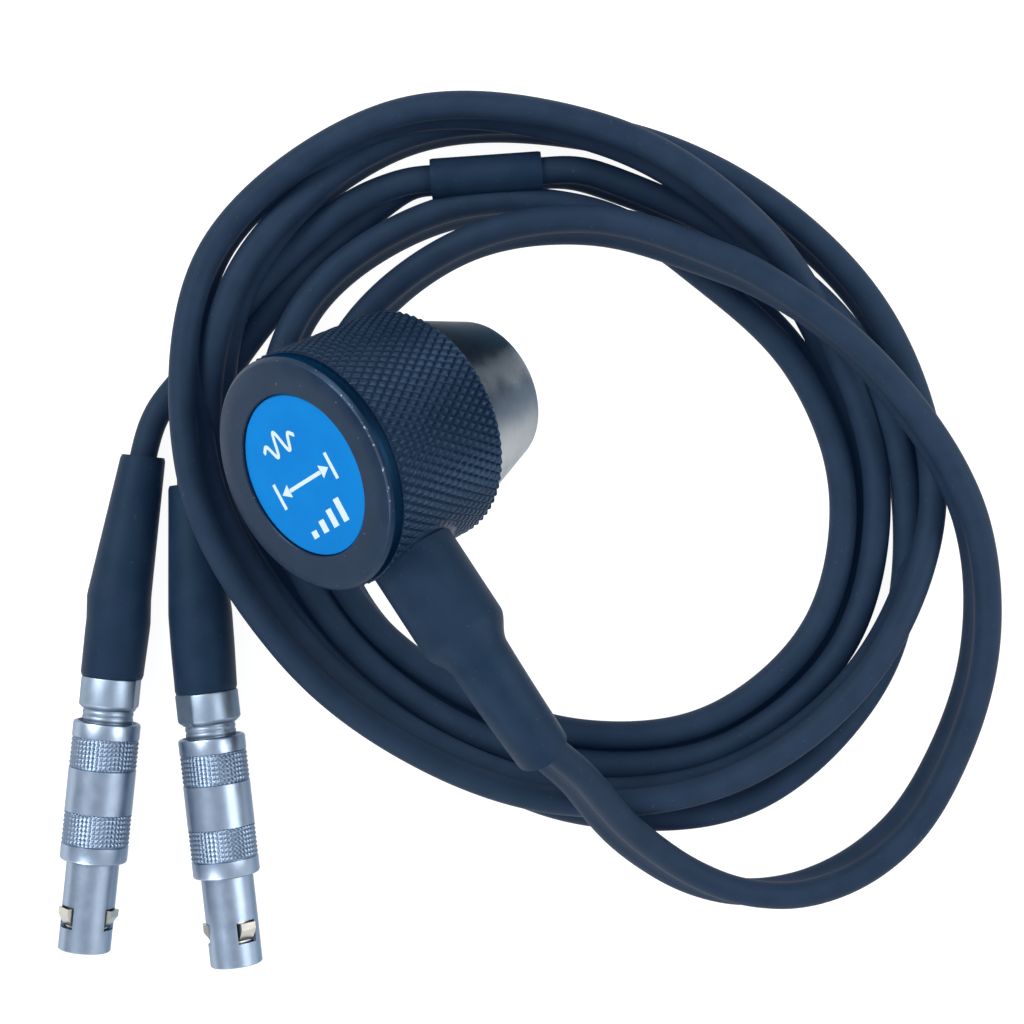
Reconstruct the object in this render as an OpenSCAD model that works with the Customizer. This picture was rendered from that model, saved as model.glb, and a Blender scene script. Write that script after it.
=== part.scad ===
// Twin-crystal ultrasonic thickness transducer with its coiled twin lead and two push-pull plugs.
// The head leans on its contact rim with the label end up; X runs from the label end to the nose,
// Y across the head, away from the cable exit, and the floor is Z = 0.

/* [Head] */
// Angle of the head's axis above the floor
lean = 43; // [38:1:48]
// Radius of the knurled barrel over its crests
barrel_r = 11; // [10.8:0.1:12]
// Length of the barrel
barrel_len = 14.3; // [14:0.1:18]
// Wall of the barrel round its bore
barrel_wall = 1.8; // [1.6:0.05:2.2]
// Thickness of the barrel's closed end behind the label
end_wall = 2.25; // [1.2:0.05:2.5]
// Length of the plain band between the knurl and the end face
band_len = 1.4; // [0.8:0.1:2]
// Depth of the plain band below the knurl's crests
band_depth = 0.2; // [0.1:0.05:0.4]
// Chamfer round the end face
face_chamfer = 0.4; // [0.2:0.05:0.6]
// Chamfer at the barrel's front rim
rim_chamfer = 0.25; // [0.1:0.05:0.4]

/* [Label] */
// Radius of the label disc
label_r = 7.45; // [6:0.05:8.5]
// Thickness of the label disc
label_t = 0.5; // [0.3:0.05:0.8]
// Depth of the label's face below the end face
label_sink = 0.25; // [0.1:0.05:0.5]

/* [Nose] */
// Length of the steel nose in front of the barrel
nose_len = 9.6; // [8.6:0.1:12]
// Step from the barrel down to the nose
nose_step = 1; // [0.6:0.1:1.2]
// Radius of the nose at its contact face
tip_r = 7.15; // [7:0.05:7.8]
// Chamfer round the contact face
tip_chamfer = 0.25; // [0.1:0.05:0.4]
// Length of the spigot that sits in the barrel
spigot_len = 4.4; // [3.6:0.1:4.6]
// Length of the lip round the contact face
lip_len = 2.5; // [1.5:0.1:3]

/* [Element] */
// Radius of the delay blocks at the contact face
element_r = 5.68; // [5.2:0.02:5.8]
// Thickness of the acoustic barrier
barrier_t = 1; // [0.6:0.1:1.4]
// Length of the delay blocks
block_len = 8; // [6:0.1:8.6]
// Radius of the delay blocks inside the carrier
block_r = 5.98; // [5.9:0.02:6.2]
// Thickness of the carrier's wall
carrier_wall = 1.18; // [0.8:0.02:1.2]
// Length that the carrier reaches behind the blocks
carrier_tail = 5; // [4.4:0.1:5.2]
// Thickness of a crystal
crystal_t = 0.6; // [0.3:0.05:0.8]
// Width of the crystal's edge that the backing leaves bare for its lead
crystal_ledge = 0.6; // [0.56:0.02:0.8]
// Length of the backing
backing_len = 4; // [3:0.1:4.4]
// Thickness of the terminal board
board_t = 1; // [0.6:0.1:1.2]
// Radius of a crystal's lead
lead_r = 0.25; // [0.15:0.01:0.26]
// Radius of the solder posts on the terminal board
post_r = 0.4; // [0.36:0.02:0.6]

/* [Cable exit] */
// Distance of the cable exit's axis from the end face
exit_from_face = 5.7; // [5.4:0.1:6.4]
// Angle of the exit round the head's axis, from the floor's direction upwards
exit_roll = 8; // [0:1:12]
// Radius of the ferrule in the barrel's wall
ferrule_r = 3.4; // [3.2:0.05:3.5]
// Radius of the ferrule's flange
flange_r = 3.8; // [3.7:0.05:3.9]
// Thickness of the flange
flange_t = 1; // [0.8:0.1:1.4]
// Bore of the ferrule as a radius
ferrule_bore_r = 2.7; // [2.65:0.05:2.9]
// Length of the ferrule outside the flange's seat
ferrule_len = 7.6; // [6:0.1:8]
// Radius of the strain relief's thick part
relief_r = 4; // [3.95:0.05:4.4]
// Length of the thick part outside the barrel
relief_len = 8.6; // [8.4:0.1:10]
// Length of the relief's shoulder
shoulder_len = 1.5; // [1:0.1:2.5]
// Wall of the relief round the cable
relief_wall = 0.8; // [0.5:0.05:1]
// Bend radius of the relief's thin part
relief_bend_r = 16; // [14:0.5:20]
// Angle through which the thin part bends down
relief_bend = 37; // [35:1:50]

/* [Cable] */
// Diameter of one cable
cable_d = 2.6; // [2.4:0.1:2.6]
// Height of the coiled strands as they lie
coil_h = 6.2; // [5.2:0.1:7]
// Inner radius of the coil
coil_in = 22.2; // [20:0.1:24]
// Outer radius of the coil's main ring
coil_out = 34.4; // [33:0.1:36]
// Inner radius of the coil's shifted turns
swing_in = 29.5; // [28:0.1:31]
// Outer radius of the coil's shifted turns
swing_out = 35.6; // [34:0.1:37]
// Length of the sleeve where the pair splits
sleeve_len = 10.6; // [8:0.1:12]
// Wall of the split sleeve
sleeve_wall = 0.6; // [0.4:0.05:0.8]

/* [Plugs] */
// Radius of the plug's nose tube
plug_nose_r = 2.5; // [2.45:0.05:2.6]
// Wall of the nose tube
plug_nose_wall = 0.35; // [0.3:0.01:0.38]
// Length of the nose tube
plug_nose_len = 8.6; // [8.4:0.1:9.4]
// Radius of the grip
grip_r = 3.2; // [3.1:0.05:3.4]
// Length of the grip
grip_len = 13.4; // [12.4:0.1:14.4]
// Radius of the plug's body inside the grip
body_r = 2.7; // [2.66:0.02:2.76]
// Radius of the neck between the grip and the nut
neck_r = 2.35; // [2.2:0.05:2.5]
// Travel of the grip
grip_travel = 1; // [0.6:0.05:1.2]
// Play at the end of the grip's travel
travel_play = 0.2; // [0.1:0.05:0.4]
// Radius of the collet nut
nut_r = 3; // [2.9:0.05:3.15]
// Length of the collet nut
nut_len = 3.1; // [2.6:0.1:3.6]
// Width across the collet nut's two flats
nut_flats = 5.2; // [5:0.1:5.8]
// Length of the first plug's boot
boot_a_len = 21.4; // [18:0.2:24]
// Length of the second plug's boot
boot_b_len = 19.6; // [18:0.2:24]
// Length of the boot's straight part
boot_straight = 7.4; // [6:0.1:9]
// Radius of the boot at the nut
boot_r = 3.05; // [2.9:0.05:3.2]
// Radius of the boot at its cable end
boot_tip_r = 2.15; // [1.9:0.05:2.3]
// Distance from the plug's tip to its latch windows
window_from_tip = 2.2; // [2:0.05:2.4]
// Length of a latch window
window_len = 2.1; // [2.1:0.05:2.3]
// Width of a latch window
window_w = 2; // [1.9:0.05:2.1]
// Width of a latch tongue
tongue_w = 1.7; // [1.4:0.05:1.75]
// Length of a latch tongue
tongue_len = 6.1; // [5.4:0.1:6.4]
// Height of a latch's barb above its tongue
barb_h = 0.7; // [0.5:0.05:0.72]
// Radius of the insulator between the tongues
slim_r = 1.3; // [1:0.05:1.3]
// Distance from the plug's tip to its insulator
slim_from = 4.8; // [4.4:0.1:6]
// Radius of the centre contact's pin
contact_r = 0.45; // [0.3:0.05:0.5]
// Radius of the centre contact's stem in the insulator
stem_r = 0.7; // [0.66:0.02:0.9]

/* [Hidden] */
$fn = 96;
fit = 0.02;
play = 0.05;

ANODISED = [0.06, 0.07, 0.09];
LABEL_BLUE = [0.03, 0.42, 0.85];
STEEL = [0.66, 0.67, 0.69];
SATIN_METAL = [0.66, 0.70, 0.76];
SPRING_BRASS = [0.80, 0.74, 0.58];
BLACK_SLEEVE = [0.05, 0.06, 0.08];
CABLE_BLACK = [0.04, 0.05, 0.07];
CLEAR_BLOCK = [0.80, 0.78, 0.70];
CORK = [0.62, 0.45, 0.28];
CERAMIC = [0.78, 0.72, 0.62];
BACKING_GREY = [0.30, 0.30, 0.32];
BOARD_GREEN = [0.08, 0.33, 0.18];
COPPER = [0.75, 0.45, 0.28];
WHITE_PLASTIC = [0.88, 0.88, 0.84];

// Head frame: its z runs from the contact face to the label, its x is the upper side of the tilted head
bore_r = barrel_r - barrel_wall;
nose_base_r = barrel_r - nose_step;
head_len = nose_len + barrel_len;
front_x = tip_r * sin(lean);
back_x = max((head_len - face_chamfer) * cos(lean) + (barrel_r - band_depth) * sin(lean),
    (head_len - band_len) * cos(lean) + barrel_r * sin(lean));
tip_x = (back_x - front_x) / 2;
tip_z = tip_r * cos(lean);
axis_x = [sin(lean), 0, cos(lean)];
axis_z = [-cos(lean), 0, sin(lean)];
label_floor = head_len - label_sink - label_t;
cavity_top = label_floor - end_wall;
spigot_end = nose_len + spigot_len;
carrier_r = block_r + fit + carrier_wall;
carrier_end = block_len + carrier_tail;
crystal_r = block_r - 2 * fit - 0.34;
backing_r = crystal_r - crystal_ledge;
lead_at = backing_r + crystal_ledge / 2 + fit;
board_r = bore_r - 0.1;
board_top = spigot_end + board_t;

// Cable exit: its direction is radial to the head
exit_z = head_len - exit_from_face;
seat_depth = 0.6;
seat_at = barrel_r - seat_depth;
ferrule_from = bore_r + 0.1;
ferrule_to = seat_at + ferrule_len;
cable_from = 5;
lead_run = 1.5;
thick_to = barrel_r + relief_len;
thin_from = thick_to + shoulder_len;
station = head_point([0, 0, exit_z]);
exit_dir = [sin(exit_roll) * sin(lean), -cos(exit_roll), sin(exit_roll) * cos(lean)];
exit_heading = atan2(exit_dir[1], exit_dir[0]);
exit_pitch = asin(exit_dir[2]);
thin_end = exit_point([thin_from + relief_bend_r * sin(relief_bend), 0,
    -relief_bend_r * (1 - cos(relief_bend))]);
thin_dir = exit_turn([cos(relief_bend), 0, -sin(relief_bend)]);

// Free loop of the pair, from the relief over the coil's edge, round the outside and back onto the coil
loop_route = [[1, -35.2, 14.4], [1.5, -38.6, 11.6], [2.2, -42.2, 9.1], [3.4, -45.5, 6.9], [5.2, -49.2, 4.7],
    [7.9, -52.7, 3.3], [10.6, -54.8, 2.7], [14, -56.4, 2.6], [17.6, -57.1, 2.6], [21.4, -57.1, 2.6],
    [25.9, -56.1, 2.6], [29.4, -54.4, 2.6], [32.9, -52, 2.6], [36.4, -49.1, 2.6], [39.6, -45.5, 3.1],
    [42, -41.2, 4.8], [43.6, -36.9, 6.8], [44.5, -33, 8.4], [44.9, -30.2, 9], [45, -25.9, 9.2],
    [44.5, -21, 9.2], [43.5, -16.1, 9.2], [42.3, -12, 9.2], [40.4, -7.7, 9.2], [38.1, -3.7, 9.1],
    [35.6, -0.3, 9]];
// Single cables from the split sleeve to the boots, under the coil's outer turns
branch_a_route = [[-18.6, 13.4, 1.7], [-14.8, 15.1, 1.3], [-8, 18, 1.5], [-4, 19.5, 2.2], [0.5, 20.8, 2.9],
    [5, 21.8, 3.3], [9, 22, 3.8]];
branch_b_route = [[-17.6, 8.3, 2.1], [-15.2, 11, 1.4], [-9.5, 14.4, 1.3], [-3.6, 17.1, 1.3], [2, 19.2, 1.3],
    [8, 20.5, 1.3]];
coil_centre = [14.6, -12.3];
swing_centre = coil_centre + 6.3 * [cos(112), sin(112)];
edge_round = 1.3;
pair_half = cable_d / 2;
sleeve_from = [15.2, 20.4, cable_d + sleeve_wall];
sleeve_heading = -24;
sleeve_dir = [cos(sleeve_heading), sin(sleeve_heading), 0];
sleeve_lead = 2;
cord_sides = 8;

// Plug stations along the axis from the tip
grip_from = plug_nose_len;
grip_to = plug_nose_len + grip_len;
nose_bore_r = plug_nose_r - plug_nose_wall;
grip_bore_r = body_r + 0.06;
grip_bore_from = plug_nose_len + 0.8;
body_from = grip_bore_from + grip_travel + 0.1;
neck_from = grip_to - 0.5;
nut_from = grip_to + grip_travel + travel_play;
nut_to = nut_from + nut_len;
nut_tail = 4;
tail_r = 2.3;
thread_r = 2;
body_to = nut_to;
cable_stop = 17;
insulator_to = cable_stop - 2;
contact_from = 1;
latch_r = nose_bore_r - play;
latch_wall = 0.3;
latch_from = 1.4;
tongue_from = window_from_tip + 0.1;
tongue_root = tongue_from + tongue_len;
tongue_t = 0.25;
seat_from = tongue_root + 0.4;
barb_run = 1.05;
barb_back = 0.15;
collet_wall = 0.4;
collet_from = nut_from + 0.4;
plug_z = grip_r + play;
// Each plug: its tip, heading, turn about its axis, the turn of its nut's flats and its boot's length
PLUG_A = [[-48.9, -29.1, plug_z], 56.2, 75, 90, boot_a_len];
PLUG_B = [[-36.6, -37.2, plug_z], 68.4, 41, -51, boot_b_len];

function head_point(v) = [tip_x, 0, tip_z] + v[0] * axis_x + v[1] * [0, 1, 0] + v[2] * axis_z;
function exit_turn(v) =
    let (x = v[0] * cos(exit_pitch) - v[2] * sin(exit_pitch),
        z = v[0] * sin(exit_pitch) + v[2] * cos(exit_pitch))
    [x * cos(exit_heading) - v[1] * sin(exit_heading), x * sin(exit_heading) + v[1] * cos(exit_heading), z];
function exit_point(v) = station + exit_turn(v);
function plug_point(plug, z) = plug[0] + z * [cos(plug[1]), sin(plug[1]), 0];
function boot_end(plug) = nut_to + plug[4];
function unit(v) = v / norm(v);
// Direction of a route at point i: the given one at the start, then from its neighbours
function heading_at(route, i, first) =
    i == 0 ? first : unit(route[min(i + 1, len(route) - 1)] - route[i - 1]);
function ring_at(p, dir, half_w, half_h) =
    let (side = unit(cross([0, 0, 1], dir)), up = cross(dir, side))
    [for (k = [0 : cord_sides - 1])
        p + half_w * cos(360 * k / cord_sides) * side + half_h * sin(360 * k / cord_sides) * up];

module head_frame() {
    translate([tip_x, 0, tip_z]) rotate([0, lean - 90, 0]) children();
}

module exit_frame() {
    translate(station) rotate([0, 0, exit_heading]) rotate([0, -exit_pitch, 0]) children();
}

// Solid of revolution whose axis runs outwards through the cable exit
module along_exit() {
    exit_frame() rotate([0, 90, 0]) children();
}

module plug_frame(plug) {
    translate(plug[0]) rotate([0, 0, plug[1]]) rotate([0, 90, 0]) children();
}

module plug_turned(plug) {
    plug_frame(plug) rotate([0, 0, 180 + plug[2]]) children();
}

module cord(route, first, half_w, half_h) {
    last = len(route) - 1;
    points = [for (i = [0 : last]) each ring_at(route[i], heading_at(route, i, first), half_w, half_h)];
    walls = [for (i = [0 : last - 1], k = [0 : cord_sides - 1])
        let (n = (k + 1) % cord_sides, a = i * cord_sides, b = a + cord_sides)
        each [[a + k, b + k, b + n], [a + k, b + n, a + n]]];
    near = [[for (k = [0 : cord_sides - 1]) k]];
    far = [[for (k = [cord_sides - 1 : -1 : 0]) last * cord_sides + k]];
    polyhedron(points, concat(walls, near, far));
}

module rod(from, to, r) {
    run = to - from;
    translate(from) rotate([0, acos(run[2] / norm(run)), atan2(run[1], run[0])])
        cylinder(h = norm(run), r = r, $fn = 32);
}

// Section of the pair of cables standing on edge, with its long axis along x, grown by a wall
module pair_section(wall) {
    for (s = [-1, 1]) translate([s * pair_half, 0]) circle(pair_half + wall, $fn = 48);
    square([2 * pair_half, 2 * (pair_half + wall)], center = true);
}

module half_disc(r, h, side) {
    intersection() {
        cylinder(h = h, r = r);
        translate([-r, side > 0 ? barrier_t / 2 : -r - barrier_t / 2, 0]) cube([2 * r, r, h]);
    }
}

module housing() {
    color(ANODISED) difference() {
        head_frame() rotate_extrude() polygon([[bore_r, nose_len], [barrel_r - rim_chamfer, nose_len],
            [barrel_r, nose_len + rim_chamfer], [barrel_r, head_len - band_len],
            [barrel_r - band_depth, head_len - band_len], [barrel_r - band_depth, head_len - face_chamfer],
            [barrel_r - band_depth - face_chamfer, head_len], [label_r + play, head_len],
            [label_r + play, label_floor], [0, label_floor], [0, cavity_top], [bore_r, cavity_top]]);
        along_exit() cylinder(h = barrel_r + 2, r = ferrule_r + fit);
        along_exit() translate([0, 0, seat_at]) cylinder(h = barrel_r, r = flange_r + fit);
    }
}

module label_disc() {
    color(LABEL_BLUE) head_frame() translate([0, 0, label_floor]) cylinder(h = label_t, r = label_r);
}

module nose_sleeve() {
    color(STEEL) head_frame() rotate_extrude() polygon([[element_r + fit, 0], [tip_r - tip_chamfer, 0],
        [tip_r, tip_chamfer], [nose_base_r, nose_len], [bore_r - fit, nose_len], [bore_r - fit, spigot_end],
        [carrier_r + fit, spigot_end], [carrier_r + fit, lip_len], [element_r + fit, lip_len]]);
}

module element_carrier() {
    color(WHITE_PLASTIC) head_frame() translate([0, 0, lip_len]) difference() {
        cylinder(h = carrier_end - lip_len, r = carrier_r);
        translate([0, 0, -1]) cylinder(h = head_len, r = block_r + fit);
    }
}

module delay_block(side) {
    color(CLEAR_BLOCK) head_frame() {
        half_disc(element_r, lip_len, side);
        translate([0, 0, lip_len]) half_disc(block_r, block_len - lip_len, side);
    }
}

module acoustic_barrier() {
    color(CORK) head_frame() intersection() {
        union() {
            cylinder(h = lip_len, r = element_r);
            translate([0, 0, lip_len]) cylinder(h = carrier_end - lip_len, r = block_r);
        }
        translate([-block_r, -barrier_t / 2 + fit, 0]) cube([2 * block_r, barrier_t - 2 * fit, head_len]);
    }
}

module crystal(side) {
    color(CERAMIC) head_frame() translate([0, 0, block_len]) half_disc(crystal_r, crystal_t, side);
}

module backing(side) {
    color(BACKING_GREY) head_frame() translate([0, 0, block_len + crystal_t])
        half_disc(backing_r, backing_len, side);
}

module crystal_lead(side) {
    color(COPPER) head_frame() translate([0, side * lead_at, block_len + crystal_t])
        cylinder(h = spigot_end - block_len - crystal_t, r = lead_r, $fn = 32);
}

module terminal_board() {
    color(BOARD_GREEN) head_frame() translate([0, 0, spigot_end]) cylinder(h = board_t, r = board_r);
}

// Core of one cable: out of the cable's end and onto its solder post on the terminal board
module core_lead(side) {
    start = exit_point([cable_from, 0, side * pair_half]);
    joint = start - lead_run * exit_dir;
    drop = (joint - head_point([0, 0, board_top])) * axis_z;
    color(COPPER) {
        rod(start, joint, lead_r);
        rod(joint + 2 * lead_r * axis_z, joint - drop * axis_z, post_r);
    }
}

module cable_ferrule() {
    color(SATIN_METAL) along_exit() difference() {
        union() {
            translate([0, 0, ferrule_from]) cylinder(h = ferrule_to - ferrule_from, r = ferrule_r);
            translate([0, 0, seat_at]) cylinder(h = flange_t, r = flange_r);
        }
        cylinder(h = 2 * ferrule_to, r = ferrule_bore_r);
    }
}

// Straight and bent run of the pair's section, from a distance along the exit to the relief's end
module pair_run(from, wall) {
    exit_frame() {
        translate([from, 0, 0]) rotate([0, 90, 0]) linear_extrude(thin_from - from) pair_section(wall);
        translate([thin_from, 0, -relief_bend_r]) rotate([-90, 0, 0]) rotate([0, 0, -90])
            rotate_extrude(angle = relief_bend) translate([relief_bend_r, 0]) pair_section(wall);
    }
}

module strain_relief() {
    color(BLACK_SLEEVE) difference() {
        union() {
            along_exit() translate([0, 0, seat_at]) cylinder(h = thick_to - seat_at, r = relief_r);
            along_exit() translate([0, 0, thick_to])
                cylinder(h = shoulder_len, r1 = relief_r, r2 = cable_d + relief_wall);
            pair_run(thick_to, relief_wall);
        }
        head_frame() cylinder(h = head_len, r = barrel_r + fit);
        along_exit() cylinder(h = seat_at + flange_t + fit, r = flange_r + fit);
        along_exit() cylinder(h = ferrule_to + fit, r = ferrule_r + fit);
        pair_run(cable_from, fit);
        translate(thin_end) rotate([0, 0, exit_heading]) rotate([0, relief_bend - exit_pitch, 0])
            translate([0, -relief_r, -relief_r]) cube(2 * relief_r);
    }
}

module cable_entry() {
    color(CABLE_BLACK) pair_run(cable_from, 0);
}

module cable_loop() {
    color(CABLE_BLACK) cord(concat([thin_end], loop_route), thin_dir, pair_half, cable_d);
}

module coil_ring(r_in, r_out) {
    rotate_extrude() translate([r_in, 0]) difference() {
        square([r_out - r_in, coil_h]);
        for (x = [0, r_out - r_in], y = [0, coil_h])
            difference() {
                translate([x, y]) square(2 * edge_round, center = true);
                translate([abs(x - edge_round), abs(y - edge_round)]) circle(edge_round, $fn = 32);
            }
    }
}

module cable_coil() {
    color(CABLE_BLACK) difference() {
        union() {
            translate(coil_centre) coil_ring(coil_in, coil_out);
            translate(swing_centre) coil_ring(swing_in, swing_out);
        }
        head_frame() cylinder(h = head_len, r = barrel_r + 0.3);
        sleeve_place() translate([0, 0, -play])
            linear_extrude(sleeve_len + 2 * play) pair_section(sleeve_wall + play);
        boot_room(PLUG_B);
    }
}

// Room for a boot that lies under the coil's edge
module boot_room(plug) {
    plug_frame(plug) rotate_extrude() polygon([[0, nut_to], [boot_r + play, nut_to],
        [boot_r + play, nut_to + boot_straight], [boot_tip_r + play, boot_end(plug) + play],
        [0, boot_end(plug) + play]]);
}

module sleeve_place() {
    translate(sleeve_from) rotate([0, 0, sleeve_heading]) rotate([0, 90, 0]) children();
}

module split_sleeve() {
    color(BLACK_SLEEVE) sleeve_place() linear_extrude(sleeve_len) difference() {
        pair_section(sleeve_wall);
        pair_section(fit);
    }
}

// Single cable: out of its plug's body, straight through the boot, free to the split sleeve and through it
module branch(plug, route, side) {
    inside = [for (z = [cable_stop, nut_to, boot_end(plug)]) plug_point(plug, z)];
    in_sleeve = [for (u = [-sleeve_lead, 0, sleeve_len])
        sleeve_from + u * sleeve_dir + [0, 0, side * pair_half]];
    color(CABLE_BLACK) cord(concat(inside, route, in_sleeve), plug_point(plug, 1) - plug[0],
        pair_half, pair_half);
}

module boot(plug) {
    color(BLACK_SLEEVE) plug_frame(plug) rotate_extrude() polygon([[tail_r + fit, nut_to],
        [boot_r, nut_to], [boot_r, nut_to + boot_straight], [boot_tip_r, boot_end(plug)],
        [pair_half + fit, boot_end(plug)],
        [pair_half + fit, nut_to + nut_tail + fit], [tail_r + fit, nut_to + nut_tail + fit]]);
}

module collet_nut(plug) {
    color(SATIN_METAL) plug_frame(plug) difference() {
        union() {
            intersection() {
                translate([0, 0, nut_from]) cylinder(h = nut_len, r = nut_r);
                rotate([0, 0, plug[3]]) translate([-nut_flats / 2, -nut_r, 0])
                    cube([nut_flats, 2 * nut_r, 2 * nut_to]);
            }
            translate([0, 0, nut_to]) cylinder(h = nut_tail, r = tail_r);
        }
        translate([0, 0, nut_from - 1]) cylinder(h = nut_len + 1 + play, r = thread_r + fit);
        cylinder(h = 2 * nut_to, r = pair_half + play);
    }
}

module cable_collet(plug) {
    color(SPRING_BRASS) plug_frame(plug) translate([0, 0, collet_from]) difference() {
        cylinder(h = body_to - collet_from, r = pair_half + play + collet_wall);
        translate([0, 0, -1]) cylinder(h = nut_len + 2, r = pair_half + play);
        for (k = [0 : 3]) rotate([0, 0, 90 * k + 45])
            translate([0, -collet_wall / 2, nut_len / 3]) cube([grip_r, collet_wall, nut_len]);
    }
}

// Body that carries the latch: a thin slotted sleeve in the nose, a guide for the grip and a threaded tail
module latch_body(plug) {
    color(SATIN_METAL) plug_turned(plug) difference() {
        rotate_extrude() polygon([[latch_r - latch_wall, latch_from], [latch_r, latch_from],
            [latch_r, body_from], [body_r, body_from], [body_r, neck_from], [neck_r, neck_from],
            [neck_r, nut_from], [thread_r, nut_from],
            [thread_r, body_to], [pair_half + play + collet_wall + fit, body_to],
            [pair_half + play + collet_wall + fit, collet_from], [pair_half + play, collet_from],
            [pair_half + play, insulator_to], [latch_r - latch_wall, insulator_to]]);
        for (k = [0 : 2]) rotate([0, 0, 120 * k])
            translate([0, -tongue_w / 2 - play, tongue_from - 2 * play])
                cube([grip_r, tongue_w + 2 * play, tongue_len + 3 * play]);
    }
}

module tongue(plug, k) {
    barb_from = tongue_from + barb_back;
    barb_to = window_from_tip + window_len - barb_back;
    barb_r = latch_r + barb_h;
    barb_foot = latch_r - tongue_t / 2;
    color(SPRING_BRASS) plug_turned(plug) rotate([0, 0, 120 * k]) {
        intersection() {
            translate([0, -tongue_w / 2, tongue_from]) cube([grip_r, tongue_w, tongue_len]);
            difference() {
                cylinder(h = tongue_root + 1, r = latch_r);
                translate([0, 0, -1]) cylinder(h = tongue_root + 3, r = latch_r - tongue_t);
            }
        }
        translate([0, tongue_w / 2 - play, 0]) rotate([90, 0, 0]) linear_extrude(tongue_w - 2 * play)
            polygon([[barb_foot, barb_from], [latch_r, barb_from], [barb_r, barb_from + barb_run],
                [barb_r, barb_to], [barb_foot, barb_to]]);
    }
}

module outer_shell(plug) {
    edge = 0.25;
    color(SATIN_METAL) plug_turned(plug) difference() {
        rotate_extrude() polygon([[nose_bore_r, 0], [plug_nose_r - edge / 2, 0], [plug_nose_r, edge / 2],
            [plug_nose_r, grip_from], [grip_r - edge, grip_from], [grip_r, grip_from + edge],
            [grip_r, grip_to - edge], [grip_r - edge, grip_to], [grip_bore_r, grip_to],
            [grip_bore_r, grip_bore_from], [nose_bore_r, grip_bore_from]]);
        for (k = [0 : 2]) rotate([0, 0, 120 * k])
            translate([0, -window_w / 2, window_from_tip]) cube([grip_r, window_w, window_len]);
    }
}

module insulator(plug) {
    color(WHITE_PLASTIC) plug_frame(plug) rotate_extrude() polygon([[stem_r, slim_from],
        [slim_r, slim_from], [slim_r, seat_from], [latch_r - latch_wall - fit, seat_from],
        [latch_r - latch_wall - fit, insulator_to], [stem_r, insulator_to]]);
}

module centre_contact(plug) {
    color(SPRING_BRASS) plug_frame(plug) {
        translate([0, 0, contact_from]) cylinder(h = slim_from - contact_from + play, r = contact_r);
        translate([0, 0, slim_from]) cylinder(h = cable_stop - slim_from, r = stem_r);
    }
}

housing();
label_disc();
nose_sleeve();
element_carrier();
delay_block(1);  // delay_block_tx
delay_block(-1);  // delay_block_rx
acoustic_barrier();
crystal(1);  // crystal_tx
crystal(-1);  // crystal_rx
backing(1);  // backing_tx
backing(-1);  // backing_rx
crystal_lead(1);  // crystal_lead_tx
crystal_lead(-1);  // crystal_lead_rx
terminal_board();
core_lead(1);  // core_lead_tx
core_lead(-1);  // core_lead_rx
cable_ferrule();
strain_relief();
cable_entry();
cable_loop();
cable_coil();
split_sleeve();
branch(PLUG_A, branch_a_route, 1);  // branch_a
boot(PLUG_A);  // boot_a
collet_nut(PLUG_A);  // collet_nut_a
cable_collet(PLUG_A);  // cable_collet_a
latch_body(PLUG_A);  // latch_body_a
outer_shell(PLUG_A);  // outer_shell_a
tongue(PLUG_A, 0);  // tongue_a1
tongue(PLUG_A, 1);  // tongue_a2
tongue(PLUG_A, 2);  // tongue_a3
insulator(PLUG_A);  // insulator_a
centre_contact(PLUG_A);  // centre_contact_a
branch(PLUG_B, branch_b_route, -1);  // branch_b
boot(PLUG_B);  // boot_b
collet_nut(PLUG_B);  // collet_nut_b
cable_collet(PLUG_B);  // cable_collet_b
latch_body(PLUG_B);  // latch_body_b
outer_shell(PLUG_B);  // outer_shell_b
tongue(PLUG_B, 0);  // tongue_b1
tongue(PLUG_B, 1);  // tongue_b2
tongue(PLUG_B, 2);  // tongue_b3
insulator(PLUG_B);  // insulator_b
centre_contact(PLUG_B);  // centre_contact_b
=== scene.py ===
# Ultrasonic thickness transducer with a coiled twin cable and two plugs: its visible pieces and finishes,
# and the camera, floor and lights. Sizes are in millimetres, apart from those of the lamps and the floor.

import math

import bmesh
import bpy
import numpy as np
from mathutils import Matrix, Vector


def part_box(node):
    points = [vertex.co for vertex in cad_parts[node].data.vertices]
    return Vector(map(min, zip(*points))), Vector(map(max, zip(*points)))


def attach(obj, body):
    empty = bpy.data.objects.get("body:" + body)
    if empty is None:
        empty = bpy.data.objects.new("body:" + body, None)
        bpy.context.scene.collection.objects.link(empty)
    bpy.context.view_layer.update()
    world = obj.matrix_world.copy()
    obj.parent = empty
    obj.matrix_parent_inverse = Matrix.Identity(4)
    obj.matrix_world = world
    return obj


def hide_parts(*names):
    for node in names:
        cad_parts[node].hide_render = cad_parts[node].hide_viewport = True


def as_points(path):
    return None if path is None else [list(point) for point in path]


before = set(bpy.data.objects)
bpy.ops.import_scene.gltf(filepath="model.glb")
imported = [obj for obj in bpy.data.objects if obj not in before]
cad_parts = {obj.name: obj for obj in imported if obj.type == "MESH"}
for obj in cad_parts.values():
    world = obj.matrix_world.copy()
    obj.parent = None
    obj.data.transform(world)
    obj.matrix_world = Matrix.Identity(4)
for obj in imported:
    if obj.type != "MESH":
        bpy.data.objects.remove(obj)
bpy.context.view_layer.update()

MM = 0.001
ROOT = "transducer"

# Camera: straight above the part, turned so that the plugs point down the picture
CAMERA_AT = (7.1, -11.32, 200)
CAMERA_TURN = -28
CAMERA_LENS = 72
CAMERA_SENSOR = 36
CAMERA_CLIP = (10, 20000)

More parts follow.
